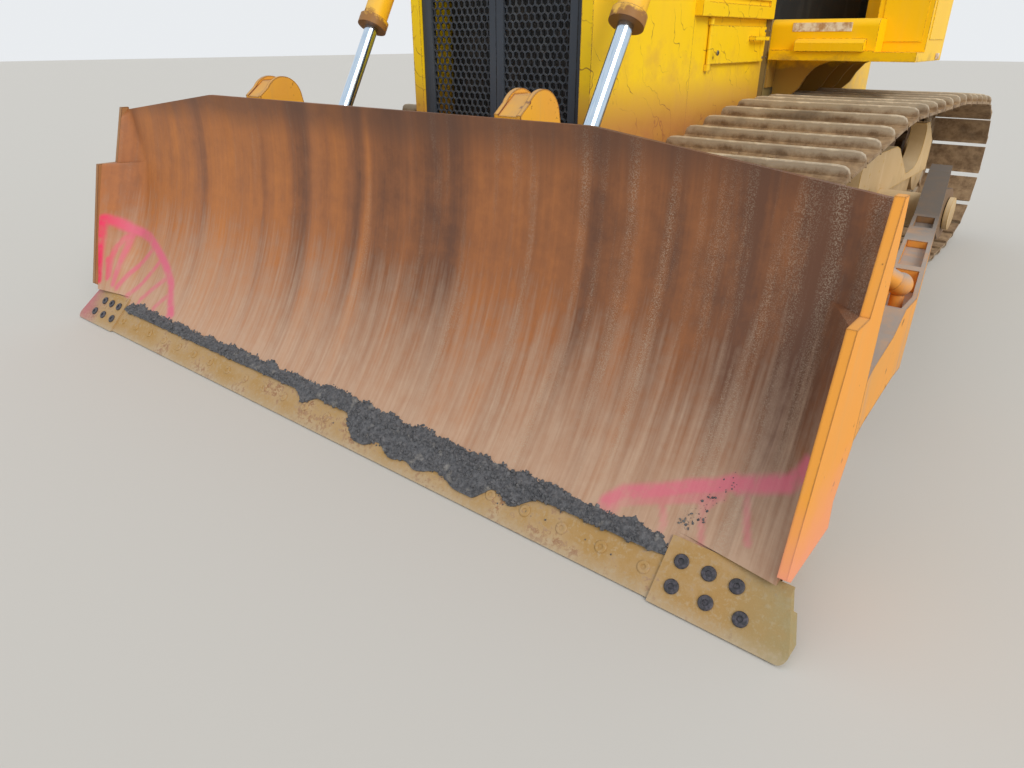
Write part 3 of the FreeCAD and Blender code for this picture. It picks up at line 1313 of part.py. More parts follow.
# Fuel tank across the rear
tank_reach = s.fender_inside - s.seat_gap
tank = plate("tank", "YZ", -tank_reach, tank_reach, [
    (cab_rear_y + 20, deck_top),
    (hull_rear_y + 20, deck_top),
    (hull_rear_y + 20, 1750),
    (hull_rear_y - 60, 1850, 90),
    (cab_rear_y + 20, 1850),
])
keep("fuel_tank", tank)


# Blade: a curved moldboard with angled wings, end plates, cutting edge and end bits
def squared(size):
    return size * size


def face_y(height, behind=0):
    """Y of the moldboard's face at a height, or of a curve that lies behind it."""
    reach = root_of(squared(s.blade_radius + behind) - squared(height - s.blade_axis_height))
    return reach - s.blade_axis_ahead - s.half_length


edge_foot_z = s.edge_clear
edge_top_z = edge_foot_z + s.edge_rise
edge_foot_y = station(0)
edge_top_y = edge_foot_y + s.edge_set_back
edge_length = root_of(squared(s.edge_rise) + squared(s.edge_set_back))
edge_along = (s.edge_set_back / edge_length, s.edge_rise / edge_length)
edge_back = (edge_top_y + edge_along[1] * s.edge_plate, edge_top_z - edge_along[0] * s.edge_plate)
foot_back_y = edge_back[0] - (edge_back[1] - edge_foot_z) * (edge_along[0] / edge_along[1])


def behind_edge(down, back):
    """A point down the cutting edge's back from its top, and back from it."""
    return (
        edge_back[0] - edge_along[0] * down + edge_along[1] * back,
        edge_back[1] - edge_along[1] * down - edge_along[0] * back,
    )


mold_foot_z = edge_top_z + 8
moldboard_solid = plate("moldboard_sheet", "YZ", -s.blade_half_width, s.blade_half_width, [
    (face_y(mold_foot_z), mold_foot_z, -s.blade_radius),
    behind_edge(Size(0, "(0)"), Size(0, "(0)")),
    behind_edge(Size(62, "(62)"), Size(0, "(0)")),
    behind_edge(Size(62, "(62)"), s.blade_plate),
    (face_y(mold_foot_z, s.blade_plate), mold_foot_z),
    (face_y(s.blade_height, s.blade_plate), s.blade_height, s.blade_radius + s.blade_plate),
    (face_y(s.blade_height), s.blade_height),
])
shoulder_cuts = []
for side, sign in (("left", 1), ("right", -1)):
    shoulder_cuts.append(plate(f"shoulder_cut_{side}", "XZ", station(300), station(700), [
        (s.blade_shoulder * sign, s.blade_height),
        ((s.blade_half_width + 5) * sign, s.blade_corner_height),
        ((s.blade_half_width + 5) * sign, s.blade_height + 20),
        (s.blade_shoulder * sign, s.blade_height + 20),
    ]))
moldboard = cut("moldboard_shaped", moldboard_solid, fuse("shoulder_cuts", shoulder_cuts))
keep("moldboard", moldboard)

# Wing sections: height, distance of the crease inboard of the end plate, station of the outer edge
WING_SECTIONS = [
    (134, 290, 88),
    (220, 250, 112),
    (420, 134, 160),
    (600, 122, 210),
    (792, 96, 268),
    (1010, 30, 404),
]
# The wing's foot climbs from the crease to the end plate, in front of the end bit's upper edge
wing_foot_inside = as_size(149)
wing_foot_outside = as_size(178)


def wing_shape():
    """The wing's wedge between the moldboard's face and the end plate, on the left."""
    outer = s.blade_half_width.number
    sections = []
    for height, inboard, edge in WING_SECTIONS:
        at_crease = face_y(as_size(height)).number
        crease = outer - inboard
        corners = [
            Vector(crease, at_crease, height),
            Vector(outer, station(edge).number, height),
            Vector(outer, at_crease + 90, height),
            Vector(crease, at_crease + 90, height),
        ]
        sections.append(Part.makePolygon(corners + corners[:1]))
    wedge = Part.makeLoft(sections, True, True)
    axis = Vector(0, station(0).number - s.blade_axis_ahead.number, s.blade_axis_height.number)
    front = Part.makeCylinder(s.blade_radius.number - 0.05, outer + 10, axis, Vector(1, 0, 0))
    foot_start = outer - WING_SECTIONS[0][1]
    below = Part.makePolygon([
        Vector(foot_start - 50, -2 * outer, 0),
        Vector(foot_start - 50, -2 * outer, wing_foot_inside.number),
        Vector(foot_start, -2 * outer, wing_foot_inside.number),
        Vector(outer + 10, -2 * outer, wing_foot_outside.number),
        Vector(outer + 10, -2 * outer, 0),
        Vector(foot_start - 50, -2 * outer, 0),
    ])
    below = Part.Face(below).extrude(Vector(0, 2 * outer, 0))
    step = Part.makePolygon([
        Vector(0, -2 * outer, 802),
        Vector(0, station(353).number, 802),
        Vector(0, station(440).number, 1075),
        Vector(0, station(440).number, 1200),
        Vector(0, -2 * outer, 1200),
        Vector(0, -2 * outer, 802),
    ])
    step = Part.Face(step).extrude(Vector(outer + 10, 0, 0))
    return wedge.common(front).cut(below).cut(step).removeSplitter()


wing = doc.addObject("Part::Feature", "wing")
wing.Shape = wing_shape()
keep("wing_left", copied("wing_left_copy", wing))
keep("wing_right", mirrored("wing_right_copy", wing))

# End plates: front outline from the foot up, then down the rear to the push arm
end_rear_y = station(487)
end_outline = [
    (station(85), as_size(185)),
    (station(128), as_size(152)),
    (station(425), as_size(150)),
    (station(412), as_size(245)),
    (end_rear_y, as_size(390)),
    (end_rear_y, as_size(960)),
    (station(474), as_size(1072)),
    (station(438), as_size(1072)),
    (station(352), as_size(800)),
    (station(252), as_size(800)),
]
end_left = plate("end_plate", "YZ", s.blade_half_width, s.blade_half_width + s.end_plate, end_outline)
keep("end_plate_left", end_left)
keep("end_plate_right", mirrored("end_plate_right_copy", end_left))

# Cutting edge and end bits
cutting_edge = plate("edge", "YZ", -s.end_bit_inside, s.end_bit_inside, [
    (edge_foot_y, edge_foot_z),
    (foot_back_y, edge_foot_z),
    edge_back,
    (edge_top_y, edge_top_z),
])
keep("cutting_edge", cutting_edge)


def bit_top(back):
    """Top corner of an end bit, back from its face."""
    return (
        edge_top_y + edge_along[0] * s.end_bit_rise + edge_along[1] * back,
        edge_top_z + edge_along[1] * s.end_bit_rise - edge_along[0] * back,
    )


bit_whole = plate("end_bit", "YZ", s.end_bit_inside + s.seat_gap, s.end_bit_outside, [
    (edge_foot_y - s.end_bit_proud / edge_along[1], edge_foot_z),
    (foot_back_y, edge_foot_z),
    edge_back,
    (edge_top_y + edge_along[1] * 8, edge_top_z - edge_along[0] * 8),
    bit_top(as_size(8)),
    bit_top(-s.end_bit_proud),
])
bit_corner = Size(24, "(24)")
bit_end = plate("bit_end", "XZ", edge_foot_y - 60, edge_top_y + 120, [
    (s.end_bit_outside - bit_corner, edge_foot_z - 1),
    (s.end_bit_outside + 40, edge_foot_z - 1),
    (s.end_bit_outside + 40, edge_top_z + 80),
    (s.end_bit_outside - 46, edge_top_z + 80),
    (s.end_bit_outside - 46, edge_top_z + 30),
    (s.end_bit_outside, edge_foot_z + bit_corner),
    (s.end_bit_outside - bit_corner, edge_foot_z, -bit_corner),
])
end_bit = cut("end_bit_fitted", bit_whole, fuse("bit_neighbours", [
    copied("bit_moldboard", moldboard),
    copied("bit_wing", wing),
    copied("bit_end_plate", end_left),
    bit_end,
]))
keep("end_bit_left", end_bit)
keep("end_bit_right", mirrored("end_bit_right_copy", end_bit))

# Back of the blade: beams and ribs that follow the moldboard's rear face
back_front = bar("behind_moldboard", s.blade_radius + s.blade_plate, "x", -s.blade_half_width - 50,
                 s.blade_half_width + 50, station(0) - s.blade_axis_ahead, s.blade_axis_height)
beam_reach = s.arm_inside + s.arm_flare - 10
pin_y = station(s.rod_pin_station)
pin_z = s.rod_pin_height
back_pieces = [
    block("top_beam", (-beam_reach, beam_reach), (station(400), station(575)), (940, 1040)),
    block("middle_beam", (-beam_reach, beam_reach), (station(400), station(560)), (560, 640)),
    plate("foot_beam", "YZ", -beam_reach, beam_reach, [
        (station(140), 90),
        (station(360), 110),
        (station(460), 200),
        (station(460), 330),
        (station(200), 330),
    ]),
]
rib_outline = [
    (station(230), 160),
    (station(455), 210),
    (station(555), 560),
    (station(560), 1040),
    (station(470), 1120),
    (station(380), 1120),
]
rib_plate = Size(22, "(22)")
for index, rib_x in enumerate((-1400, -1090, -360, 0, 360, 1090, 1400)):
    back_pieces.append(plate(f"rib_{index + 1}", "YZ", rib_x - rib_plate / 2, rib_x + rib_plate / 2, rib_outline))
bracket_outline = [
    (station(300), 330),
    (station(520), 420),
    (pin_y + 40, pin_z - 90),
    (pin_y + 98, pin_z),
    (pin_y + 60, pin_z + 90, 98),
    (station(690), 1170),
    (station(600), 1252, 95),
    (station(520), 1210, 95),
    (station(440), 1150),
]
cap_reach = Size(22, "(22)")
for side, sign in (("left", 1), ("right", -1)):
    inner = s.bracket_gap / 2
    outer = inner + s.bracket_plate
    for part, near, far in (("outer", inner, outer), ("inner", -outer, -inner)):
        low = s.lift_side * sign + near
        back_pieces.append(plate(f"bracket_{side}_{part}", "YZ", low, s.lift_side * sign + far, bracket_outline))
    back_pieces.append(plate(f"bracket_web_{side}", "YZ", s.lift_side * sign - inner - 2,
                             s.lift_side * sign + inner + 2, [
        (station(440), 1080),
        (station(600), 1080),
        (station(655), 1190),
        (station(630), 1234),
        (station(560), 1234),
        (station(440), 1146),
    ]))
    for part, near, far in (("outer", outer - 2, outer + cap_reach), ("inner", -outer - cap_reach, 2 - outer)):
        low = s.lift_side * sign + near
        back_pieces.append(bar(f"pin_cap_{side}_{part}", 46, "x", low, s.lift_side * sign + far, pin_y, pin_z))
blade_back = cut("blade_back_fitted", fuse("blade_back_whole", back_pieces), back_front)
keep("blade_back", blade_back)

# Push arms: box beams that lean outward to the end plates, with a sunken top plate between proud side plates
arm_bend_y = station(s.arm_bend)
arm_front_y = station(s.arm_front)
eye_radius = Size(140, "(140)")
arm_rear_y = trunnion_y + eye_radius + 5
arm_front_x = s.arm_inside + s.arm_flare


def arm_line(distance):
    """The arm's inner side at a station between its bend and its front."""
    share = (s.arm_bend - distance) / (s.arm_bend - s.arm_front)
    return s.arm_inside + s.arm_flare * share


arm_plan = plate("arm_plan", "XY", 60, 800, [
    (s.arm_inside, arm_rear_y),
    (s.arm_inside, arm_bend_y),
    (arm_front_x, arm_front_y),
    (arm_front_x, station(90)),
    (s.blade_half_width - s.seat_gap, station(90)),
    (s.blade_half_width - s.seat_gap, end_rear_y + s.seat_gap),
    (s.blade_outside, end_rear_y + s.seat_gap),
    (s.blade_outside, arm_front_y),
    (s.arm_inside + s.arm_width, arm_bend_y),
    (s.arm_inside + s.arm_width, arm_rear_y),
])
arm_side = plate("arm_side", "YZ", s.arm_inside - 20, s.blade_outside + 20, [
    (trunnion_y, trunnion_z - eye_radius),
    (trunnion_y, trunnion_z + eye_radius, eye_radius),
    (trunnion_y - 270, trunnion_z + eye_radius + 30),
    (trunnion_y - 290, s.arm_top + s.arm_rise),
    (trunnion_y - 400, s.arm_top + s.arm_rise),
    (station(2200), s.arm_top),
    (station(800), s.arm_top),
    (station(709), 646),
    (station(618), 626),
    (station(534), 608),
    (station(453), 571),
    (station(240), 560),
    (station(120), 470),
    (station(130), 130),
    (station(380), 130),
    (station(430), 385),
    (station(570), 430),
    (station(836), s.arm_bottom),
    (trunnion_y - 260, s.arm_bottom),
    (trunnion_y - 60, trunnion_z - eye_radius),
])
arm_sinks = []
for name, near, far, floor in (("rear", 1930, 2150, 28), ("middle", 1290, 1670, 28), ("front", 800, 1230, 75)):
    inner_rim = s.arm_rim
    outer_rim = s.arm_width - s.arm_rim
    far_line = arm_line(far)
    near_line = arm_front_x if near < s.arm_front.number else arm_line(near)
    corners = [(far_line + inner_rim, station(far)), (near_line + inner_rim, station(near))]
    if near < s.arm_front.number:
        corners.insert(1, (arm_front_x + inner_rim, arm_front_y))
    corners.append((near_line + outer_rim, station(near)))
    if near < s.arm_front.number:
        corners.append((arm_front_x + outer_rim, arm_front_y))
    corners.append((far_line + outer_rim, station(far)))
    arm_sinks.append(plate(f"arm_sink_{name}", "XY", s.arm_top - floor, s.arm_top + 5, corners))
arm_eye = bar("arm_eye", s.trunnion_radius + s.pin_clearance, "x", s.arm_inside - 10,
              s.arm_inside + s.arm_width + 10, trunnion_y, trunnion_z)
arm_left = cut("arm_fitted", common("arm_whole", [arm_plan, arm_side]),
               fuse("arm_cuts", [arm_eye, copied("arm_back_front", back_front)] + arm_sinks))
keep("push_arm_left", arm_left)
keep("push_arm_right", mirrored("push_arm_right_copy", arm_left))


def strut(name, radius, start, end, low=0.0, high=1.0):
    """A round bar between two places, from share low to share high of the way."""
    way = [as_size(b) - a for a, b in zip(start, end)]
    length = root_of(squared(way[0]) + squared(way[1]) + squared(way[2]))
    solid = doc.addObject("Part::Cylinder", name)
    bind(solid, "Radius", radius)
    bind(solid, "Height", length * (high - low))
    direction = Vector(*[size.number for size in way])
    solid.Placement = Placement(Vector(), Rotation(Vector(0, 0, 1), direction))
    place(solid, *[as_size(a) + b * low for a, b in zip(start, way)])
    return solid


# Brace and tilt cylinder: from the left arm's ball and from lugs on the right arm up to the blade's top beam
brace_low = (arm_line(950) + 45, station(950), s.arm_top + 26)
tilt_low = (-arm_line(1800) - s.arm_width / 2, station(1800), s.arm_top + 62)
brace_high = (s.arm_inside + 28, station(655), Size(985, "(985)"))
tilt_high = (-brace_high[0], brace_high[1], brace_high[2])


def lugs(name, centre, outline):
    """A pair of ears with their pin, about a brace's end."""
    x, y, z = centre
    pieces = [bar(f"{name}_pin", 21, "x", x - 54, x + 54, y, z)]
    for part, low, high in (("a", x + 32, x + 49), ("b", x - 49, x - 32)):
        pieces.append(plate(f"{name}_ear_{part}", "YZ", low, high, outline))
    return pieces


beam_ear = [
    (station(575), brace_high[2] - 45),
    (brace_high[1], brace_high[2] - 45),
    (brace_high[1], brace_high[2] + 45, 45),
    (station(575), brace_high[2] + 45),
]
arm_ear = [
    (tilt_low[1] - 90, s.arm_top + s.seat_gap),
    (tilt_low[1] + 90, s.arm_top + s.seat_gap),
    (tilt_low[1] + 45, tilt_low[2]),
    (tilt_low[1] - 45, tilt_low[2], 45),
]
brace_ball = doc.addObject("Part::Sphere", "brace_ball")
bind(brace_ball, "Radius", 36)
place(brace_ball, *brace_low)
keep("brace_left", fuse("brace_whole", [
    strut("brace_tube", 30, brace_low, brace_high, 0.0, 1.02),
    strut("brace_sleeve", 40, brace_low, brace_high, 0.25, 0.75),
    brace_ball,
    bar("brace_stud", 20, "z", s.arm_top - 75 + s.seat_gap, brace_low[2], brace_low[0], brace_low[1]),
] + lugs("brace_beam", brace_high, beam_ear)))
keep("tilt_cylinder_right", fuse("tilt_whole", [
    strut("tilt_rod", 28, tilt_low, tilt_high, -0.02, 1.02),
    strut("tilt_barrel", 62, tilt_low, tilt_high, 0.12, 0.68),
] + lugs("tilt_arm", tilt_low, arm_ear) + lugs("tilt_beam", tilt_high, beam_ear)))

# Lift cylinders: a barrel on trunnions in the guard's bosses, and a rod to the blade's bracket
lift_lean = slope_from_vertical(s.lift_pivot_station - s.rod_pin_station, s.lift_pivot_height - s.rod_pin_height)


def along_barrel(name, radius, low, high):
    return leaning_bar(name, radius, s.lift_side, lift_y, lift_z, lift_lean, low, high)


cap_thickness = Size(30, "(30)")
barrel_solid = fuse("barrel_solid", [
    along_barrel("barrel_tube", s.barrel_radius, -s.barrel_below, s.barrel_above),
    along_barrel("gland", s.gland_radius, -s.barrel_below, s.gland_length - s.barrel_below),
    along_barrel("trunnion_band", band_radius, Size(-55, "(-55)"), Size(55, "(55)")),
    along_barrel("barrel_cap", s.barrel_radius + 6, s.barrel_above - cap_thickness, s.barrel_above),
    bar("barrel_trunnion", lift_trunnion, "x", s.guard_half_width + 30, s.lift_side + s.barrel_radius + 40,
        lift_y, lift_z),
])
barrel_left = cut("barrel_bored", barrel_solid, fuse("barrel_bores", [
    along_barrel("barrel_inside", s.barrel_bore, s.gland_length - s.barrel_below, s.barrel_above - cap_thickness),
    along_barrel("gland_inside", s.rod_radius + s.pin_clearance, -s.barrel_below - 1,
                 s.gland_length - s.barrel_below + 1),
]))
keep("lift_barrel_left", barrel_left)
keep("lift_barrel_right", mirrored("lift_barrel_right_copy", barrel_left))
piston_length = Size(60, "(60)")


def along_rod(name, radius, low, high):
    return leaning_bar(name, radius, s.lift_side, pin_y, pin_z, lift_lean, low, high)


rod_left = fuse("rod_whole", [
    along_rod("rod_bar", s.rod_radius, 0, s.rod_length - 5),
    along_rod("piston", s.barrel_bore - s.seat_gap, s.rod_length - piston_length, s.rod_length),
    bar("rod_eye", s.rod_eye_radius, "x", s.lift_side - s.rod_eye_width / 2, s.lift_side + s.rod_eye_width / 2,
        pin_y, pin_z),
    bar("rod_pin", s.rod_pin_radius, "x", s.lift_side - s.bracket_gap / 2 + 3,
        s.lift_side + s.bracket_gap / 2 - 3, pin_y, pin_z),
])
keep("lift_rod_left", rod_left)
keep("lift_rod_right", mirrored("lift_rod_right_copy", rod_left))

doc.recompute()

# Check every object before anything is written
for thing in doc.Objects:
    if "Invalid" in thing.State or "Error" in thing.State:
        raise RuntimeError(f"{thing.Name} failed: {thing.State}")
for piece in nodes:
    shape = piece.Shape
    if shape.isNull() or not shape.isValid() or not shape.Solids:
        raise RuntimeError(f"{piece.Label} has no valid solid")

os.makedirs("parts", exist_ok=True)
for piece in nodes:
    piece.Shape.exportStep(os.path.join("parts", piece.Label + ".step"))
print(len(nodes), "sub-parts written")
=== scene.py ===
import math
import random

import bmesh
import bpy
from mathutils import Matrix, Vector, noise


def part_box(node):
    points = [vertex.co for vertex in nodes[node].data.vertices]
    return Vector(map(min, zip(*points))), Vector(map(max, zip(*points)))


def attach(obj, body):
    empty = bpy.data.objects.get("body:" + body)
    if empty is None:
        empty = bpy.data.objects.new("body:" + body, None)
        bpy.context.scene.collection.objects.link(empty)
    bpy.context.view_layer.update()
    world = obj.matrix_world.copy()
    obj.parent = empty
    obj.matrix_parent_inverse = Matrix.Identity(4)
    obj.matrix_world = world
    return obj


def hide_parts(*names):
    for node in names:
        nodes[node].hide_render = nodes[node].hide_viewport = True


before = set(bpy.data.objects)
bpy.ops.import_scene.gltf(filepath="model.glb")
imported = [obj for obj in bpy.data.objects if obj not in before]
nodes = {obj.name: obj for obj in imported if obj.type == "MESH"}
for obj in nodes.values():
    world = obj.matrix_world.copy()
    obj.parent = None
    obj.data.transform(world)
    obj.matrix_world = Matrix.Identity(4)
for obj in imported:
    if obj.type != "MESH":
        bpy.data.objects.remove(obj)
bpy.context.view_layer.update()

# Camera: the photograph was taken close to the blade's right-hand corner, with a wide lens and a little
# above head height. The frame is 1024 x 768 and its focal length is 719.1 of those pixels.
PHOTO_WIDTH = 1024
FOCAL_PIXELS = 719.1
SENSOR_MM = 36.0
camera_data = bpy.data.cameras.new("camera")
camera_data.sensor_fit = "HORIZONTAL"
camera_data.sensor_width = SENSOR_MM
camera_data.lens = FOCAL_PIXELS / PHOTO_WIDTH * SENSOR_MM
camera_data.clip_start = 0.02
camera = bpy.data.objects.new("camera", camera_data)
bpy.context.scene.collection.objects.link(camera)
camera.location = (2.28, -4.209, 1.398)
view_direction = Vector((-0.5678, 0.7006, -0.4323))
camera.rotation_euler = view_direction.to_track_quat("-Z", "Y").to_euler()
bpy.context.scene.camera = camera


# Floor and light: a plain pale floor under an even grey sky, with a broad soft light high on the
# machine's left. The sky is brighter where the camera, a reflection or a pane looks at it.
def colour(code):
    """An sRGB hex code as the linear red, green, blue and alpha that a shader takes."""
    values = [int(code[at:at + 2], 16) / 255 for at in (1, 3, 5)]
    linear = [v / 12.92 if v <= 0.04045 else ((v + 0.055) / 1.055) ** 2.4 for v in values]
    return (*linear, 1.0)


def add(tree, kind, links=None, **settings):
    """A node with its settings; links gives each input a socket to read or a value to hold."""
    node = tree.nodes.new(kind)
    for name, value in settings.items():
        setattr(node, name, value)
    for key, value in (links or {}).items():
        if isinstance(value, bpy.types.NodeSocket):
            tree.links.new(value, node.inputs[key])
        else:
            node.inputs[key].default_value = value
    return node


SKY_ON_OBJECT = 0.78
SKY_SEEN = 0.93
world = bpy.data.worlds.new("grey_sky")
world.use_nodes = True
world.node_tree.nodes.clear()
sky = world.node_tree
light_path = add(sky, "ShaderNodeLightPath")
seen = add(sky, "ShaderNodeMath", {0: light_path.outputs["Is Camera Ray"],
                                   1: light_path.outputs["Is Glossy Ray"]}, operation="MAXIMUM")
seen = add(sky, "ShaderNodeMath", {0: seen.outputs[0],
                                   1: light_path.outputs["Is Transmission Ray"]}, operation="MAXIMUM")
sky_level = add(sky, "ShaderNodeMapRange", {"Value": seen.outputs[0], "To Min": SKY_ON_OBJECT,
                                            "To Max": SKY_SEEN})
backdrop = add(sky, "ShaderNodeBackground", {"Color": colour("#f1f4f7"),
                                             "Strength": sky_level.outputs["Result"]})
add(sky, "ShaderNodeOutputWorld", {"Surface": backdrop.outputs[0]})
bpy.context.scene.world = world
bpy.context.scene.view_settings.view_transform = "Standard"

lamp_data = bpy.data.lights.new("soft_sun", "SUN")
lamp_data.energy = 1.78
lamp_data.angle = math.radians(35)
lamp_data.color = colour("#fff6ea")[:3]
lamp = bpy.data.objects.new("soft_sun", lamp_data)
bpy.context.scene.collection.objects.link(lamp)
light_direction = Vector((-0.95, 0.45, -0.80))
lamp.rotation_euler = light_direction.to_track_quat("-Z", "Y").to_euler()


def new_material(name):
    """An empty node material and its tree."""
    material = bpy.data.materials.new(name)
    material.use_nodes = True
    material.node_tree.nodes.clear()
    return material, material.node_tree


def mesh_object(name, points, faces, finish=None):
    """A new object whose mesh is given in place, in metres, with its faces turned outward."""
    mesh = bpy.data.meshes.new(name)
    mesh.from_pydata([tuple(point) for point in points], [], faces)
    mesh.validate()
    built = bmesh.new()
    built.from_mesh(mesh)
    bmesh.ops.recalc_face_normals(built, faces=built.faces)
    built.to_mesh(mesh)
    built.free()
    made = bpy.data.objects.new(name, mesh)
    bpy.context.scene.collection.objects.link(made)
    if finish:
        mesh.materials.append(finish)
    return made


FLOOR_REACH = 60.0
# Floated concrete, pale and matt
floor_finish, tree = new_material("pale_floated_concrete")
add(tree, "ShaderNodeOutputMaterial", {"Surface": add(tree, "ShaderNodeBsdfPrincipled", {
    "Base Color": colour("#c9c8c4"),
    "Roughness": 0.9,
}).outputs[0]})
floor = mesh_object("floor", [(-FLOOR_REACH, -FLOOR_REACH, 0), (FLOOR_REACH, -FLOOR_REACH, 0),
                              (FLOOR_REACH, FLOOR_REACH, 0), (-FLOOR_REACH, FLOOR_REACH, 0)], [(0, 1, 2, 3)],
                    floor_finish)


# Tracks: each is an endless chain of forged links with pins and bushings that carries 44 rolled shoes with
# one grouser each. The grousers' tips are worn pale; clay and rust stay brown between them.
def lofted(name, rows, closed=True, capped=True, finish=None):
    """A skin over rows of points; each row is a ring if closed, and capped fills the first and the last."""
    count = len(rows[0])
    points = [point for row in rows for point in row]
    faces = []
    for at in range(len(rows) - 1):
        for step in range(count if closed else count - 1):
            after = (step + 1) % count
            faces.append((at * count + step, at * count + after, (at + 1) * count + after,
                          (at + 1) * count + step))
    if capped:
        faces.append(tuple(range(count)))
        faces.append(tuple((len(rows) - 1) * count + step for step in range(count)))
    return mesh_object(name, points, faces, finish)


def joined(name, pieces):
    """Several new objects made into one mesh, each keeping its own finish."""
    built = bmesh.new()
    finishes = []
    for piece in pieces:
        first = len(built.faces)
        built.from_mesh(piece.data)
        built.faces.ensure_lookup_table()
        finish = piece.data.materials[0] if piece.data.materials else None
        if finish not in finishes:
            finishes.append(finish)
        for at in range(first, len(built.faces)):
            built.faces[at].material_index = finishes.index(finish)
        bpy.data.meshes.remove(piece.data)
    mesh = bpy.data.meshes.new(name)
    built.to_mesh(mesh)
    built.free()
    for finish in finishes:
        if finish:
            mesh.materials.append(finish)
    made = bpy.data.objects.new(name, mesh)
    bpy.context.scene.collection.objects.link(made)
    return made


def rubbed(piece, share):
    """Marks a piece's points with how far the ground has rubbed them bright, from 0 to 1."""
    layer = piece.data.attributes.new("rub", "FLOAT", "POINT")
    layer.data.foreach_set("value", [share(point.co) for point in piece.data.vertices])
    return piece


def repeated(name, piece, places, finish):
    """One piece at many places, as a single mesh; a place is a position, a rotation and a stretch."""
    carrier = mesh_object(f"{name}_places", [place[0] for place in places], [])
    for key, at in (("turn", 1), ("stretch", 2)):
        layer = carrier.data.attributes.new(key, "FLOAT_VECTOR", "POINT")
        layer.data.foreach_set("vector", [value for place in places for value in place[at]])
    tree = bpy.data.node_groups.new(f"{name}_repeat", "GeometryNodeTree")
    for label, way, kind in (("Places", "INPUT", "NodeSocketGeometry"), ("Piece", "INPUT", "NodeSocketObject"),
                             ("Finish", "INPUT", "NodeSocketMaterial"), ("Mesh", "OUTPUT", "NodeSocketGeometry")):
        tree.interface.new_socket(label, in_out=way, socket_type=kind)
    given = add(tree, "NodeGroupInput")
    shape = add(tree, "GeometryNodeObjectInfo", {"Object": given.outputs["Piece"]})
    turn = add(tree, "GeometryNodeInputNamedAttribute", {"Name": "turn"}, data_type="FLOAT_VECTOR")
    turned = add(tree, "FunctionNodeEulerToRotation", {"Euler": turn.outputs["Attribute"]})
    stretch = add(tree, "GeometryNodeInputNamedAttribute", {"Name": "stretch"}, data_type="FLOAT_VECTOR")
    placed = add(tree, "GeometryNodeInstanceOnPoints", {
        "Points": given.outputs["Places"], "Instance": shape.outputs["Geometry"],
        "Rotation": turned.outputs[0], "Scale": stretch.outputs["Attribute"]})
    realized = add(tree, "GeometryNodeRealizeInstances", {"Geometry": placed.outputs[0]})
    coated = add(tree, "GeometryNodeSetMaterial", {"Geometry": realized.outputs[0],
                                                   "Material": given.outputs["Finish"]})
    add(tree, "NodeGroupOutput", {"Mesh": coated.outputs[0]})
    repeat = carrier.modifiers.new("repeat", "NODES")
    repeat.node_group = tree
    for item in tree.interface.items_tree:
        if item.in_out == "INPUT" and item.name == "Piece":
            repeat[item.identifier] = piece
        if item.in_out == "INPUT" and item.name == "Finish":
            repeat[item.identifier] = finish
    graph = bpy.context.evaluated_depsgraph_get()
    mesh = bpy.data.meshes.new_from_object(carrier.evaluated_get(graph), depsgraph=graph)
    made = bpy.data.objects.new(name, mesh)
    bpy.context.scene.collection.objects.link(made)
    for spent in (carrier, piece):
        bpy.data.meshes.remove(spent.data)
    return made


TRACK_MIDDLE = 1.025
SHOE_HALF = 0.4575
SHOE_COUNT = 44
PIN_TO_SHOE = 0.045
WHEELS = (
    # y, z and radius of the pins' way round: idler, first and last roller, sprocket, carrier rollers
    (-1.215, 0.465, 0.356),
    (-0.830, 0.2743, 0.1653),
    (1.805, 0.2743, 0.1653),
    (2.070, 0.552, 0.392),
    (1.130, 0.831, 0.168),
    (-0.120, 0.831, 0.168),
)


def chain_way():
    """The pins' way round the wheels as close points, once round, going rearward on the ground."""
    touches = []
    for at, (y, z, radius) in enumerate(WHEELS):
        next_y, next_z, next_radius = WHEELS[(at + 1) % len(WHEELS)]
        distance = math.hypot(next_y - y, next_z - z)
        heading = math.atan2(next_z - z, next_y - y)
        outward = heading - math.acos((radius - next_radius) / distance)
        touches.append(outward)
    way = []
    for at, (y, z, radius) in enumerate(WHEELS):
        start = touches[at - 1]
        end = touches[at]
        while end < start:
            end += 2 * math.pi
        steps = max(2, int((end - start) * radius / 0.004))
        for step in range(steps + 1):
            angle = start + (end - start) * step / steps
            way.append((y + radius * math.cos(angle), z + radius * math.sin(angle)))
    return way


def pins_on(way, count):
    """Equally spaced places on the way, as many as asked for, and the distance from one to the next."""
    reach = [0.0]
    for first, second in zip(way, way[1:] + way[:1]):
        reach.append(reach[-1] + math.dist(first, second))
    pitch = reach[-1] / count
    pins = []
    at = 0
    for number in range(count):
        wanted = number * pitch
        while reach[at + 1] < wanted:
            at += 1
        share = (wanted - reach[at]) / (reach[at + 1] - reach[at])
        first = way[at]
        second = way[(at + 1) % len(way)]
        pins.append((first[0] + (second[0] - first[0]) * share, first[1] + (second[1] - first[1]) * share))
    return pins, pitch


pins, link_pitch = pins_on(chain_way(), SHOE_COUNT)


def shoe_profile(rise):
    """A shoe's section along the chain from its pin: bent lip, worn grouser, plate and bevelled tail."""
    outer = PIN_TO_SHOE + 0.014
    return [(0.002, 0.034), (0.002, 0.045), (0.013, outer), (0.018, outer + 0.004), (0.0205, outer + rise - 0.004),
            (0.0245, outer + rise), (0.0335, outer + rise), (0.0370, outer + rise - 0.004),
            (0.042, outer + 0.006), (0.056, outer), (link_pitch - 0.020, outer), (link_pitch - 0.009, outer - 0.004),
            (link_pitch - 0.009, PIN_TO_SHOE + 0.001), (link_pitch - 0.022, PIN_TO_SHOE), (0.020, PIN_TO_SHOE)]


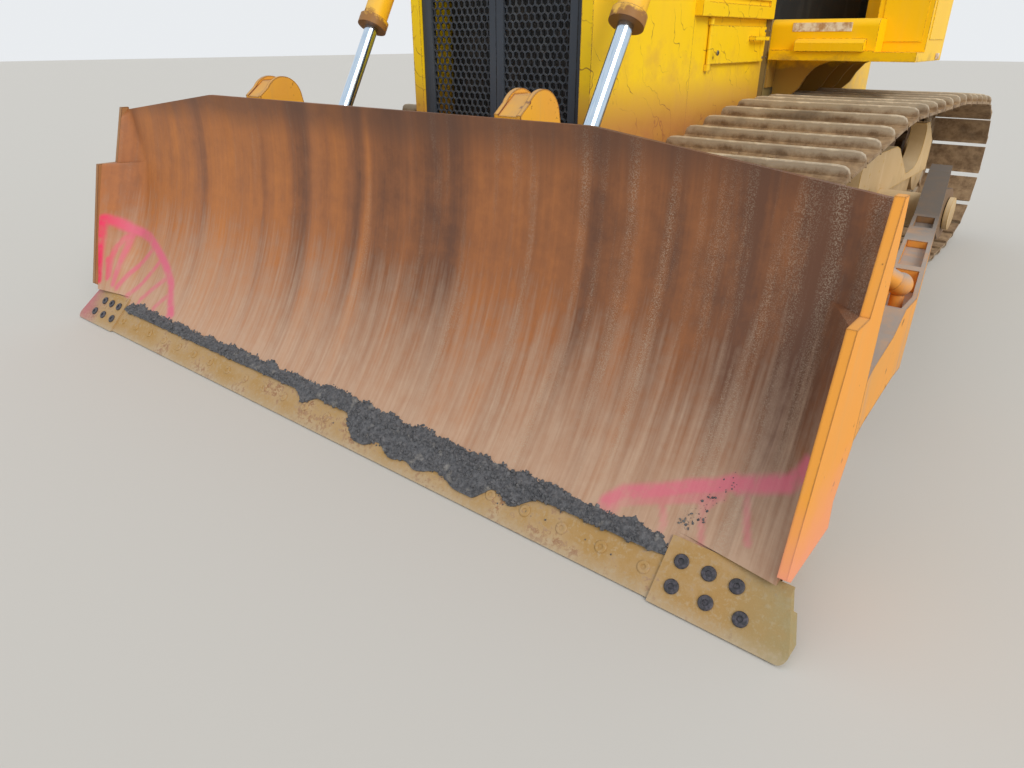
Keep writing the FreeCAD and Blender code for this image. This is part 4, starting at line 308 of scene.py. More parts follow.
def track_link():
    """One shoe with the two rails, the bushing and the bolts that carry it, at the origin along +Y."""
    rows = []
    for across, rise in ((-1.0, 0.020), (-0.985, 0.036), (-0.95, 0.046), (-0.88, 0.050), (-0.3, 0.049), (0.3, 0.048),
                         (0.88, 0.050), (0.95, 0.046), (0.985, 0.036), (1.0, 0.020)):
        rows.append([(across * SHOE_HALF, y, z) for y, z in shoe_profile(rise)])
    shoe = rubbed(lofted("shoe", rows), lambda point: max(0.0, min(1.0, (point.z - 0.060) / 0.045)))
    pieces = [shoe]
    for side in (-1, 1):
        for inner, outer, start, end, round_end in ((0.050, 0.071, -0.036, 0.66, "first"),
                                                    (0.071, 0.092, 0.34, 1.0, "last")):
            low = start if round_end == "first" else start * link_pitch
            high = end * link_pitch if round_end == "first" else link_pitch + 0.036
            ring = [(low, -0.052), (low + 0.03, -0.060), (high - 0.03, -0.060), (high, -0.052), (high, 0.030),
                    (high - 0.02, 0.0445), (low + 0.02, 0.0445), (low, 0.030)]
            rail = lofted("rail", [[(side * x, y, z) for y, z in ring] for x in (inner, outer)])
            pieces.append(rubbed(rail, lambda point: 0.75 if point.z < -0.055 else 0.0))
    ring = [(0.028 * math.cos(turn * math.pi / 6), 0.028 * math.sin(turn * math.pi / 6)) for turn in range(12)]
    bushing = lofted("bushing", [[(x, y, z) for y, z in ring] for x in (-0.071, 0.071)])
    pieces.append(rubbed(bushing, lambda point: 0.3))
    for x in (-0.085, 0.085):
        for y in (0.082, 0.152):
            head = [(x + 0.015 * math.cos(turn * math.pi / 3), y + 0.015 * math.sin(turn * math.pi / 3))
                    for turn in range(6)]
            bolt = lofted("bolt", [[(px, py, z) for px, py in head] for z in (0.058, 0.071)])
            pieces.append(rubbed(bolt, lambda point: 0.15))
    return joined("track_link", pieces)


def blended(tree, share, first, second):
    """One colour laid over another by a share."""
    mix = add(tree, "ShaderNodeMix", data_type="RGBA")
    for index, value in ((0, share), (6, first), (7, second)):
        if isinstance(value, bpy.types.NodeSocket):
            tree.links.new(value, mix.inputs[index])
        else:
            mix.inputs[index].default_value = value
    return mix.outputs[2]


def mapped(tree, value, low, high, start=0.0, end=1.0):
    """A value from low to high brought to a share from start to end, held there beyond them."""
    return add(tree, "ShaderNodeMapRange", {"Value": value, "From Min": low, "From Max": high,
                                            "To Min": start, "To Max": end}).outputs[0]


def mathed(tree, operation, first, second):
    """Two values combined by one operation."""
    return add(tree, "ShaderNodeMath", {0: first, 1: second}, operation=operation).outputs[0]


def surface_of(tree, coat, roughness, bump=None, **constants):
    """The material's output: one principled surface with its constants on its own sockets."""
    links = {"Base Color": coat, "Roughness": roughness}
    if bump:
        links["Normal"] = bump
    for name, value in constants.items():
        links[name.replace("_", " ")] = value
    shader = add(tree, "ShaderNodeBsdfPrincipled", links)
    add(tree, "ShaderNodeOutputMaterial", {"Surface": shader.outputs[0]})


# Rolled manganese steel: dry clay on it, brown in the roots and rubbed to beige-grey at the grousers' tips
shoe_finish, tree = new_material("ground_rubbed_shoe_steel")
place = add(tree, "ShaderNodeTexCoord").outputs["Object"]
rub = add(tree, "ShaderNodeAttribute", attribute_name="rub").outputs["Fac"]
clay = add(tree, "ShaderNodeTexNoise", {"Vector": place, "Scale": 14.0, "Detail": 9.0, "Roughness": 0.68})
grain = add(tree, "ShaderNodeTexNoise", {"Vector": place, "Scale": 90.0, "Detail": 4.0})
damp = add(tree, "ShaderNodeTexNoise", {"Vector": place, "Scale": 3.2, "Detail": 3.0})
coat = blended(tree, mapped(tree, clay.outputs["Fac"], 0.35, 0.65), colour("#6f573f"), colour("#a68d6e"))
uneven = mathed(tree, "ADD", rub, mapped(tree, clay.outputs["Fac"], 0.3, 0.7, -0.25, 0.25))
coat = blended(tree, mapped(tree, uneven, 0.25, 0.75), coat, colour("#b3a692"))
coat = blended(tree, mapped(tree, uneven, 0.95, 1.2, 0.0, 0.7), coat, colour("#e6dac2"))
coat = blended(tree, mapped(tree, damp.outputs["Fac"], 0.6, 0.72, 0.0, 0.55), coat, colour("#574b40"))
bump = add(tree, "ShaderNodeBump", {"Strength": 0.5, "Distance": 0.003, "Height": mathed(
    tree, "ADD", clay.outputs["Fac"], mapped(tree, grain.outputs["Fac"], 0.0, 1.0, 0.0, 0.3))})
surface_of(tree, coat, mapped(tree, damp.outputs["Fac"], 0.55, 0.72, 0.78, 0.5), bump.outputs[0])

for side, name in ((1, "left"), (-1, "right")):
    places = []
    for at, (y, z) in enumerate(pins):
        next_y, next_z = pins[(at + 1) % len(pins)]
        along = Vector((0, next_y - y, next_z - z)).normalized()
        out = Vector((0, along.z, -along.y))
        turn = Matrix((Vector((-1, 0, 0)), along, out)).transposed().to_euler()
        places.append(((side * TRACK_MIDDLE, y, z), turn, (1, 1, 1)))
    track = repeated(f"track_chain_{name}", track_link(), places, shoe_finish)
    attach(track, "machine")
    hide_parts(f"track_{name}")


# Running gear: cast idlers and flanged rollers, toothed sprocket rings and boxed track frames between the
# chain's runs, all of them oiled and caked with dry clay.
def enamel(name, paint, faded, rust, dust, dusting=0.5, gloss=0.42, wear=0.35, chip_mm=20.0, low_dirt=0.0,
           scratches=0.0, patches=()):
    """Enamel on steel: faded in patches, chipped to rust at edges, with dust on its upper faces.

    low_dirt is the height that splashed dirt reaches. A patch is a direction, the two places along it
    between which it sets in, its colour and its strength.
    """
    material, tree = new_material(name)
    place = add(tree, "ShaderNodeTexCoord").outputs["Object"]
    surface = add(tree, "ShaderNodeNewGeometry")
    rounded = add(tree, "ShaderNodeBevel", {"Radius": 0.010}, samples=4)
    facing = add(tree, "ShaderNodeVectorMath", {0: rounded.outputs[0], 1: surface.outputs["Normal"]},
                 operation="DOT_PRODUCT")
    grit = add(tree, "ShaderNodeTexNoise", {"Vector": place, "Scale": 1000 / chip_mm, "Detail": 6.0,
                                            "Roughness": 0.62}).outputs["Fac"]
    broad = add(tree, "ShaderNodeTexNoise", {"Vector": place, "Scale": 1.3, "Detail": 4.0}).outputs["Fac"]
    cloud = add(tree, "ShaderNodeTexNoise", {"Vector": place, "Scale": 7.0, "Detail": 8.0,
                                             "Roughness": 0.65}).outputs["Fac"]
    sharp = mapped(tree, facing.outputs["Value"], 0.985, 0.80)
    edges = mapped(tree, mathed(tree, "MULTIPLY", sharp, grit), 0.62 - wear, 0.72 - wear)
    flecks = mapped(tree, mathed(tree, "ADD", cloud, grit), 1.42 - 0.5 * wear, 1.48 - 0.5 * wear)
    coat = blended(tree, mapped(tree, broad, 0.35, 0.7), colour(paint), colour(faded))
    streaked = add(tree, "ShaderNodeVectorMath", {0: place, 1: (9.0, 9.0, 0.9)}, operation="MULTIPLY")
    runs = add(tree, "ShaderNodeTexNoise", {"Vector": streaked.outputs[0], "Scale": 1.6, "Detail": 7.0,
                                            "Roughness": 0.6}).outputs["Fac"]
    coat = blended(tree, mapped(tree, runs, 0.52, 0.75, 0.0, 0.5 * dusting), coat, colour(dust))
    coat = blended(tree, flecks, coat, colour(rust))
    coat = blended(tree, edges, coat, colour(rust))
    if low_dirt:
        height = add(tree, "ShaderNodeSeparateXYZ", {0: place}).outputs["Z"]
        lifted = mathed(tree, "ADD", height, mapped(tree, cloud, 0.3, 0.7, -0.22, 0.22))
        splashed = mapped(tree, lifted, low_dirt + 0.3, low_dirt - 0.25)
        coat = blended(tree, mathed(tree, "MULTIPLY", splashed, 0.8), coat, colour(dust))
    if scratches:
        slanted = add(tree, "ShaderNodeTexWave", {"Vector": place, "Scale": 3.1, "Distortion": 14.0, "Detail": 3.0,
                                                  "Detail Scale": 1.4}, wave_type="BANDS", bands_direction="DIAGONAL")
        line = mapped(tree, slanted.outputs["Fac"], 0.988, 0.998, 0.0, scratches)
        coat = blended(tree, mathed(tree, "MULTIPLY", line, mapped(tree, cloud, 0.45, 0.6)), coat, colour(rust))
    upward = add(tree, "ShaderNodeSeparateXYZ", {0: surface.outputs["Normal"]}).outputs["Z"]
    laid = mathed(tree, "MULTIPLY", mapped(tree, upward, 0.15, 0.9), mapped(tree, cloud, 0.3, 0.7, 0.4, 1.0))
    laid = mathed(tree, "MULTIPLY", laid, dusting)
    coat = blended(tree, laid, coat, colour(dust))
    for direction, start, end, tint, strength in patches:
        along = add(tree, "ShaderNodeVectorMath", {0: place, 1: direction}, operation="DOT_PRODUCT").outputs["Value"]
        ragged = mathed(tree, "ADD", along, mapped(tree, cloud, 0.3, 0.7, -0.05, 0.05))
        coat = blended(tree, mapped(tree, ragged, start, end, 0.0, strength), coat, colour(tint))
    bump = add(tree, "ShaderNodeBump", {"Strength": 0.3, "Distance": 0.002, "Height": grit})
    surface_of(tree, coat, mapped(tree, laid, 0.0, 1.0, gloss, 0.85), bump.outputs[0], Specular_IOR_Level=0.2)
    return material


def coat_nodes(finish, *names):
    """Gives CAD nodes one finish in place of their plain slot colour."""
    for name in names:
        nodes[name].data.materials.clear()
        nodes[name].data.materials.append(finish)


# Cast and rolled carriage steel, oiled, with dry clay on it
frame_steel = enamel("clay_covered_cast_steel", "#5a4330", "#74593f", "#3a2a1e", "#a3896a", dusting=0.85, gloss=0.65,
                     wear=0.45, chip_mm=35.0)
coat_nodes(frame_steel, "track_rollers_left", "track_rollers_right", "carrier_rollers_left",
           "carrier_rollers_right", "idler_left", "idler_right", "sprocket_left", "sprocket_right")
# Castings of the track frames: the maker's yellow shows through beige dust in chips. From about 0.6 m down to 0.3 m
# they darken to dark brown: painted shade low between the chain's runs.
dusty_casting = enamel("dusty_yellow_casting", "#c8a97a", "#dcc39a", "#c2962f", "#e3cfab", dusting=0.8, gloss=0.7,
                       wear=0.42, chip_mm=45.0, patches=(((0, 0, -1), -0.62, -0.30, "#755a3e", 0.85),))
coat_nodes(dusty_casting, "track_frame_left", "track_frame_right", "final_drive_left", "final_drive_right",
           "pivot_shafts", "equalizer_bar", "drawbar")


# Hull, engine and radiator: a welded steel box carries the engine block and the finned radiator core behind
# the nose's screens; both are seen only as shadows between the sheets.
hull_paint = enamel("dirty_hull_enamel", "#b98d33", "#9c7c3f", "#4a3524", "#94816a", dusting=0.9, gloss=0.6)
coat_nodes(hull_paint, "main_frame")
# Painted cast iron, oily
engine_grey = enamel("grey_engine_enamel", "#6f7275", "#5d5f61", "#3f3630", "#77716a", dusting=0.6)
coat_nodes(engine_grey, "engine_block")
# Tinned radiator fins, close vertical sheets 6 mm apart, with blown dust. They are painted near black in dark and less
# dark stripes: painted shade in the gaps between the sheets.
fin_finish, tree = new_material("radiator_fins_painted_shade_and_dust")
place = add(tree, "ShaderNodeTexCoord").outputs["Object"]
comb = add(tree, "ShaderNodeTexWave", {"Vector": place, "Scale": 26.0, "Distortion": 0.0}, wave_type="BANDS",
           bands_direction="X")
lint = add(tree, "ShaderNodeTexNoise", {"Vector": place, "Scale": 9.0, "Detail": 6.0})
# Painted shade: near-black gaps and dim fin edges in stripes
coat = blended(tree, comb.outputs["Fac"], colour("#17181a"), colour("#3b3d40"))
coat = blended(tree, mapped(tree, lint.outputs["Fac"], 0.5, 0.7, 0.0, 0.5), coat, colour("#6b6053"))
bump = add(tree, "ShaderNodeBump", {"Strength": 0.6, "Distance": 0.003, "Height": comb.outputs["Fac"]})
surface_of(tree, coat, 0.6, bump.outputs[0])
coat_nodes(fin_finish, "radiator_core")


# Nose: a welded guard of yellow plate round two hinged screens. Each screen is a bolted flat-bar frame
# round a punched sheet with close six-sided holes.
# Machine enamel, waxy, sun-faded, with fine scratches and brown dust toward the track
yellow_enamel = enamel("yellow_machine_enamel", "#ffd814", "#fdd128", "#8a5a30", "#c98d55", dusting=0.14, wear=0.24,
                       low_dirt=1.02, scratches=0.85, patches=(((0, 0, -1), -1.22, -1.02, "#b5744a", 0.75),))
coat_nodes(yellow_enamel, "radiator_guard", "hood", "side_panel_left", "side_panel_right", "engine_door_left",
           "engine_door_right")
# Blued screen steel, dark and a little greasy
screen_steel = enamel("blued_screen_steel", "#3c424b", "#474e58", "#2a2522", "#7d7d78", dusting=0.35, gloss=0.4,
                      wear=0.2)
grille_low, grille_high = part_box("grille")


def slabs(name, sizes, finish, rounding=0.003):
    """Flat pieces with rounded edges, as one mesh; each is its lowest and its highest corner."""
    built = bmesh.new()
    for low, high in sizes:
        middle = [(a + b) / 2 for a, b in zip(low, high)]
        reach = [b - a for a, b in zip(low, high)]
        part = bmesh.ops.create_cube(built, size=1.0, matrix=Matrix.Translation(middle) @ Matrix.Diagonal((*reach, 1)))
        edges = {edge for point in part["verts"] for edge in point.link_edges}
        bmesh.ops.bevel(built, geom=list(edges), offset=min(rounding, min(reach) * 0.3), segments=2,
                        affect="EDGES", profile=0.5)
    mesh = bpy.data.meshes.new(name)
    built.to_mesh(mesh)
    built.free()
    mesh.materials.append(finish)
    made = bpy.data.objects.new(name, mesh)
    bpy.context.scene.collection.objects.link(made)
    return made


HOLE_ACROSS = 0.034
HOLE_WEB = 0.0035
CELL_ROWS = 1.5 * HOLE_ACROSS / math.sqrt(3)
screen_front = grille_low.y + 0.010
corners = [(math.cos(math.pi / 6 + turn * math.pi / 3), math.sin(math.pi / 6 + turn * math.pi / 3))
           for turn in range(6)]
cell_outer = HOLE_ACROSS / math.sqrt(3)
cell_inner = (HOLE_ACROSS / 2 - HOLE_WEB) * 2 / math.sqrt(3)
cell = lofted("hole_cell", [[(x * radius, depth, z * radius) for x, z in corners] for radius, depth in (
    (cell_outer, 0.006), (cell_outer, 0.0), (cell_inner + 0.0008, -0.0006), (cell_inner, 0.0),
    (cell_inner, 0.006))], capped=False)
cells = []
for middle in (-0.2175, 0.2175):
    row = 0
    z = grille_low.z + 0.060
    while z < grille_high.z - 0.055:
        x = middle - 0.180 + (HOLE_ACROSS / 2 if row % 2 else 0.0)
        while x < middle + 0.182:
            cells.append(((x, screen_front, z), (0, 0, 0), (1, 1, 1)))
            x += HOLE_ACROSS
        z += CELL_ROWS
        row += 1
screens = repeated("screen_sheet", cell, cells, screen_steel)
bars = []
for middle in (-0.2175, 0.2175):
    for low_x, high_x in ((-0.2165, -0.178), (0.178, 0.2165)):
        bars.append(((middle + low_x, grille_low.y, grille_low.z), (middle + high_x, grille_high.y, grille_high.z)))
    for low_z, high_z in ((grille_low.z, grille_low.z + 0.052), (grille_high.z - 0.052, grille_high.z)):
        bars.append(((middle - 0.18, grille_low.y + 0.001, low_z), (middle + 0.18, grille_high.y, high_z)))
bars.append(((-0.459, grille_low.y + 0.004, grille_low.z), (-0.432, grille_high.y, grille_high.z)))
bars.append(((0.432, grille_low.y + 0.004, grille_low.z), (0.459, grille_high.y, grille_high.z)))
screen_frames = slabs("screen_frames", bars, screen_steel)
for piece in (screens, screen_frames):
    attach(piece, "machine")
    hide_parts("grille")


# Rest of the body: fenders with their boxes, cab, roof, tank and stacks. Yellow plate where dust can lie,
# black where the sun would glare.
# From about 1.31 m down to 1.24 m the fender plate darkens to brown: painted shade under the deck.
fender_enamel = enamel("yellow_fender_enamel", "#ffcf0c", "#fbc81a", "#80522c", "#d2bb94", dusting=0.15, wear=0.22,
                        patches=(((0, 0, -1), -1.31, -1.24, "#8f6c46", 0.8),))
coat_nodes(fender_enamel, "fender_left", "fender_right")
# The tank is cleaner, with splashed dirt only along its foot
tank_enamel = enamel("yellow_tank_enamel", "#fccb14", "#f4c12c", "#80522c", "#c9ae86", dusting=0.4, wear=0.22,
                     low_dirt=0.95)
coat_nodes(tank_enamel, "fuel_tank")
base_enamel = enamel("dusty_cab_base_enamel", "#8d7a45", "#77736a", "#4a3a2a", "#8a877d", dusting=0.8, gloss=0.6)
coat_nodes(base_enamel, "cab_base")
# Black textured enamel, softly shining
black_enamel = enamel("black_cab_enamel", "#1b1c1e", "#2a2b2c", "#3a3029", "#6c6a64", dusting=0.35, gloss=0.35,
                      wear=0.18)
coat_nodes(black_enamel, "cab_shell", "cab_roof", "exhaust_stack", "air_precleaner", "console")
# The same enamel round a door's pane of clear glass, which lies inside the frame's opening
door_finish, tree = new_material("black_door_with_pane")
place = add(tree, "ShaderNodeTexCoord").outputs["Object"]
split = add(tree, "ShaderNodeSeparateXYZ", {0: place})
grit = add(tree, "ShaderNodeTexNoise", {"Vector": place, "Scale": 60.0, "Detail": 5.0}).outputs["Fac"]
pane_low = (0.979, 1.894)
pane_high = (1.526, 2.921)
pane = mathed(tree, "GREATER_THAN", split.outputs["Y"], pane_low[0])
for axis, operation, value in (("Y", "LESS_THAN", pane_high[0]), ("Z", "GREATER_THAN", pane_low[1]),
                               ("Z", "LESS_THAN", pane_high[1])):
    pane = mathed(tree, "MULTIPLY", pane, mathed(tree, operation, split.outputs[axis], value))
coat = blended(tree, mapped(tree, grit, 0.4, 0.7), colour("#1b1c1e"), colour("#2c2c2c"))
coat = blended(tree, pane, coat, colour("#dfe9e4"))
shader = add(tree, "ShaderNodeBsdfPrincipled", {"Base Color": coat, "Transmission Weight": pane,
                                                "Roughness": mapped(tree, pane, 0.0, 1.0, 0.38, 0.03)})
add(tree, "ShaderNodeOutputMaterial", {"Surface": shader.outputs[0]})
coat_nodes(door_finish, "cab_door_left", "cab_door_right")
# Clear toughened glass in thin sheets, faintly green
glass_finish, tree = new_material("cab_window_glass")
surface_of(tree, colour("#dfe9e4"), 0.03, Transmission_Weight=1.0, IOR=1.45)
coat_nodes(glass_finish, "cab_glass")


# Blade: a 20 mm rolled moldboard with folded wings that meet the end plates, rusted and scoured in upright
# streaks by what it pushes. Somebody has sprayed pink marks on both its ends.
BLADE_END = 1.905
FACE_RADIUS = 1.373
BACK_RADIUS = 1.393
FACE_AXIS = (-3.689, 1.038)
STATION = 2.780
WING = (
    # height, how far in the crease lies, and station of the wing's outer edge
    (0.134, 0.290, 0.088),
    (0.220, 0.250, 0.112),
    (0.420, 0.134, 0.160),
    (0.600, 0.122, 0.210),
    (0.792, 0.096, 0.268),
    (1.010, 0.030, 0.404),
    (1.060, 0.030, 0.470),
)


def wing_at(z, above_step):
    """How far in the crease lies at a height, and the outer edge's place along the machine."""
    for (low, low_in, low_out), (high, high_in, high_out) in zip(WING, WING[1:]):
        if z <= high or high == WING[-1][0]:
            share = max(0.0, min(1.0, (z - low) / (high - low)))
            inset = low_in + (high_in - low_in) * share
            station = low_out + (high_out - low_out) * share
            break
    if above_step:
        station = max(station, 0.353 + (z - 0.802) * 0.319)
    return inset, station - STATION


def blade_top(x):
    """The moldboard's upper edge: level in the middle and sloping down toward each end."""
    return 1.167 - max(0.0, abs(x) - 1.048) * 0.107 / 0.857


def face_at(x, z, above_step=False, winged=True):
    """The blade's front face, along the machine, at a place across and up."""
    face = FACE_AXIS[0] + math.sqrt(FACE_RADIUS ** 2 - (z - FACE_AXIS[1]) ** 2)
    if not winged:
        return face
    inset, outer = wing_at(z, above_step)
    crease = BLADE_END - inset
    outer = min(outer, face)
    slope = (outer - face) / inset
    soft = min(0.045, inset * 0.45)
    reach = abs(x) - (crease - soft)
    if reach <= 0:
        return face
    if reach < 2 * soft:
        return face + slope * reach ** 2 / (4 * soft)
    return face + slope * (abs(x) - crease)


STROKES = (
    # half width, strength, and the way of each pink stroke over the face as x and height
    (0.020, 0.95, ((-1.889, 0.524), (-1.847, 0.500), (-1.803, 0.464), (-1.773, 0.452), (-1.65, 0.434),
                   (-1.55, 0.393), (-1.458, 0.353), (-1.373, 0.308), (-1.31, 0.266), (-1.255, 0.20), (-1.191, 0.145))),
    (0.016, 1.0, ((-1.897, 0.52), (-1.900, 0.36), (-1.897, 0.20))),
    (0.011, 0.8, ((-1.856, 0.316), (-1.842, 0.216))),
    (0.014, 0.75, ((-1.792, 0.44), (-1.787, 0.36), (-1.79, 0.292), (-1.793, 0.192))),
    (0.012, 0.7, ((-1.811, 0.424), (-1.832, 0.372), (-1.842, 0.316), (-1.832, 0.232))),
    (0.014, 0.75, ((-1.591, 0.384), (-1.641, 0.325), (-1.71, 0.256), (-1.757, 0.18))),
    (0.013, 0.7, ((-1.487, 0.342), (-1.545, 0.266), (-1.586, 0.213), (-1.659, 0.152))),
    (0.012, 0.65, ((-1.369, 0.285), (-1.447, 0.227), (-1.523, 0.159))),
    (0.012, 0.6, ((-1.281, 0.227), (-1.332, 0.187), (-1.37, 0.146))),
    (0.017, 0.75, ((1.369, 0.149), (1.411, 0.184), (1.515, 0.22), (1.592, 0.254), (1.662, 0.277), (1.709, 0.304),
                   (1.724, 0.304), (1.798, 0.344), (1.863, 0.388), (1.888, 0.428), (1.903, 0.468))),
    (0.010, 0.45, ((1.385, 0.15), (1.468, 0.183), (1.56, 0.213), (1.64, 0.24), (1.692, 0.264))),
    (0.009, 0.4, ((1.521, 0.216), (1.563, 0.153))),
    (0.009, 0.4, ((1.646, 0.226), (1.685, 0.148))),
    (0.010, 0.4, ((1.763, 0.288), (1.803, 0.208))),
    (0.009, 0.45, ((1.709, 0.304), (1.655, 0.22))),
)
BANDS = (
    # across, half width and strength of an upright streak: below zero it is darker, above it more orange
    (-1.17, 0.028, -0.55), (-1.02, 0.05, 0.35), (-0.80, 0.10, 0.30), (-0.66, 0.012, -0.5), (-0.55, 0.05, 0.25),
    (-0.38, 0.055, -0.95), (-0.28, 0.035, 0.85), (-0.16, 0.05, 0.2), (-0.02, 0.020, -0.7), (0.035, 0.012, 0.8),
    (0.16, 0.075, -0.75), (0.27, 0.012, 0.4), (0.37, 0.09, -0.85), (0.50, 0.04, -0.7), (0.70, 0.09, 0.5),
    (0.90, 0.09, 0.3), (1.09, 0.045, -0.65), (1.23, 0.02, 0.55), (1.34, 0.03, -0.4), (1.55, 0.10, -0.35),
    (1.78, 0.10, -0.5), (-1.50, 0.04, -0.3), (-1.70, 0.06, 0.25), (-1.84, 0.03, -0.45),
)


def pink_at(x, z):
    """How much sprayed paint lies at a place of the face, from 0 to 1."""
    most = 0.0
    for half, strength, way in STROKES:
        for (ax, az), (bx, bz) in zip(way, way[1:]):
            if abs(x - (ax + bx) / 2) > 0.12 + half:
                continue
            dx, dz = bx - ax, bz - az
            share = max(0.0, min(1.0, ((x - ax) * dx + (z - az) * dz) / (dx * dx + dz * dz)))
            away = math.hypot(x - ax - dx * share, z - az - dz * share)
            most = max(most, strength * max(0.0, min(1.0, (half * 1.5 - away) / (half * 0.8))))
    return most


def shade_at(x, z):
    """The upright streak at a place: its bands waver a little and fade toward the blade's foot."""
    waver = x + 0.020 * math.sin(3.1 * z + 2.0 * x) + 0.012 * (z - 0.6)
    total = 0.0
    for middle, half, strength in BANDS:
        total += strength * max(0.0, 1.0 - (abs(waver - middle) / (1.5 * half)) ** 2)
    return 0.75 * total * max(0.25, min(1.0, (z - 0.10) / 0.45))


columns = [-BLADE_END, -1.9, -1.89]
while columns[-1] < BLADE_END - 0.011:
    columns.append(min(columns[-1] + (0.009 if abs(columns[-1]) > 1.14 else 0.022), BLADE_END))
if columns[-1] < BLADE_END:
    columns.append(BLADE_END)
rows = []
for x in columns:
    top = blade_top(x)
    heights = [(0.110, False, False), (0.152, False, False)]
    heights += [(0.1525 + 0.6475 * step / 78, False, True) for step in range(79)]
    heights += [(0.801 + (top - 0.801) * step / 26, True, True) for step in range(27)]
    ring = [(x, face_at(x, z, step_above, winged), z) for z, step_above, winged in heights]
    for step in range(16):
        z = top + (0.030 - top) * step / 15
        ring.append((x, FACE_AXIS[0] + math.sqrt(BACK_RADIUS ** 2 - (z - FACE_AXIS[1]) ** 2), z))
    ring += [(x, 0.0837 - STATION, 0.024), (x, 0.0693 - STATION, 0.0379), (x, 0.1122 - STATION, 0.0826)]
    rows.append(ring)

# Rolled wear plate: orange-brown rust in streaks, scoured pale and pinkish near the foot, where the pale is also
# painted light on the upturned lower face. A dark band along the top is painted shade where the face curls over and
# turns downward.
blade_finish, tree = new_material("streaked_rusty_moldboard")
place = add(tree, "ShaderNodeTexCoord").outputs["Object"]
split = add(tree, "ShaderNodeSeparateXYZ", {0: place})
pink = add(tree, "ShaderNodeAttribute", attribute_name="pink").outputs["Fac"]
shade = add(tree, "ShaderNodeAttribute", attribute_name="shade").outputs["Fac"]
wide = add(tree, "ShaderNodeVectorMath", {0: place, 1: (9.0, 0.7, 0.7)}, operation="MULTIPLY")
fine = add(tree, "ShaderNodeVectorMath", {0: place, 1: (70.0, 3.0, 3.0)}, operation="MULTIPLY")
wide_streak = add(tree, "ShaderNodeTexNoise", {"Vector": wide.outputs[0], "Scale": 1.0, "Detail": 5.0,
                                               "Roughness": 0.6}).outputs["Fac"]
fine_streak = add(tree, "ShaderNodeTexNoise", {"Vector": fine.outputs[0], "Scale": 1.0, "Detail": 4.0}).outputs["Fac"]
mottle = add(tree, "ShaderNodeTexNoise", {"Vector": place, "Scale": 11.0, "Detail": 9.0, "Roughness": 0.7}).outputs["Fac"]
speck = add(tree, "ShaderNodeTexNoise", {"Vector": place, "Scale": 330.0, "Detail": 3.0}).outputs["Fac"]
tone = mathed(tree, "ADD", shade, mapped(tree, wide_streak, 0.3, 0.7, -0.38, 0.38))
tone = mathed(tree, "ADD", tone, mapped(tree, fine_streak, 0.3, 0.7, -0.12, 0.12))
tone = mathed(tree, "ADD", tone, mapped(tree, mottle, 0.3, 0.7, -0.30, 0.30))
tone = mathed(tree, "ADD", tone, mapped(tree, split.outputs["X"], -1.4, 1.7, 0.42, -0.70))
coat = blended(tree, mapped(tree, tone, -1.1, 0.05), colour("#67412b"), colour("#9c6136"))
coat = blended(tree, mapped(tree, tone, 0.0, 0.95), coat, colour("#bb763c"))
# Pale pinkish tan toward the foot: scoured steel, and painted light where the lower face turns upward
low = mathed(tree, "ADD", split.outputs["Z"], mapped(tree, fine_streak, 0.25, 0.75, -0.16, 0.16))
low = mathed(tree, "ADD", low, mapped(tree, mottle, 0.3, 0.7, -0.10, 0.10))
coat = blended(tree, mapped(tree, low, 0.66, 0.08, 0.0, 0.8), coat, colour("#c6a78e"))
loose = add(tree, "ShaderNodeVectorMath", {0: place, 1: (17.0, 1.2, 1.2)}, operation="MULTIPLY")
columns_of_specks = add(tree, "ShaderNodeTexNoise", {"Vector": loose.outputs[0], "Scale": 1.0,
                                                     "Detail": 3.0}).outputs["Fac"]
pale = mathed(tree, "ADD", columns_of_specks, mapped(tree, split.outputs["X"], 0.0, 1.8, -0.15, 0.04))
pale = mathed(tree, "MULTIPLY", mapped(tree, pale, 0.46, 0.64), mapped(tree, speck, 0.50, 0.60))
coat = blended(tree, mathed(tree, "MULTIPLY", pale, 0.5), coat, colour("#b5a590"))
# Painted shade: dark brown along the top, above where the face turns downward
painted_top_shade = mathed(tree, "ADD", split.outputs["Z"], mapped(tree, mottle, 0.3, 0.7, -0.04, 0.04))
coat = blended(tree, mapped(tree, painted_top_shade, 1.03, 1.13, 0.0, 0.6), coat, colour("#583d2f"))
worn_spray = mathed(tree, "MULTIPLY", pink, mapped(tree, mottle, 0.30, 0.52, 0.45, 1.0))
red_end = mapped(tree, split.outputs["X"], -1.80, -1.90)
spray = blended(tree, red_end, colour("#d4647f"), colour("#e0305c"))
coat = blended(tree, worn_spray, coat, spray)
height = mathed(tree, "ADD", mapped(tree, fine_streak, 0.0, 1.0, 0.0, 0.3), mapped(tree, speck, 0.0, 1.0, 0.0, 0.25))
height = mathed(tree, "ADD", height, mottle)
bump = add(tree, "ShaderNodeBump", {"Strength": 0.45, "Distance": 0.0025, "Height": height})
surface_of(tree, coat, mapped(tree, wide_streak, 0.3, 0.7, 0.5, 0.68), bump.outputs[0])

moldboard = lofted("moldboard_skin", rows, finish=blade_finish)
moldboard.data.shade_smooth()
moldboard.data.set_sharp_from_angle(angle=math.radians(28))
for key, measure in (("pink", pink_at), ("shade", shade_at)):
    layer = moldboard.data.attributes.new(key, "FLOAT", "POINT")
    layer.data.foreach_set("value", [
        measure(point.co.x, point.co.z) if key == "shade" or (abs(point.co.x) > 1.15 and point.co.z < 0.56) else 0.0
        for point in moldboard.data.vertices])
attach(moldboard, "blade_frame")
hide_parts("moldboard", "wing_left", "wing_right")


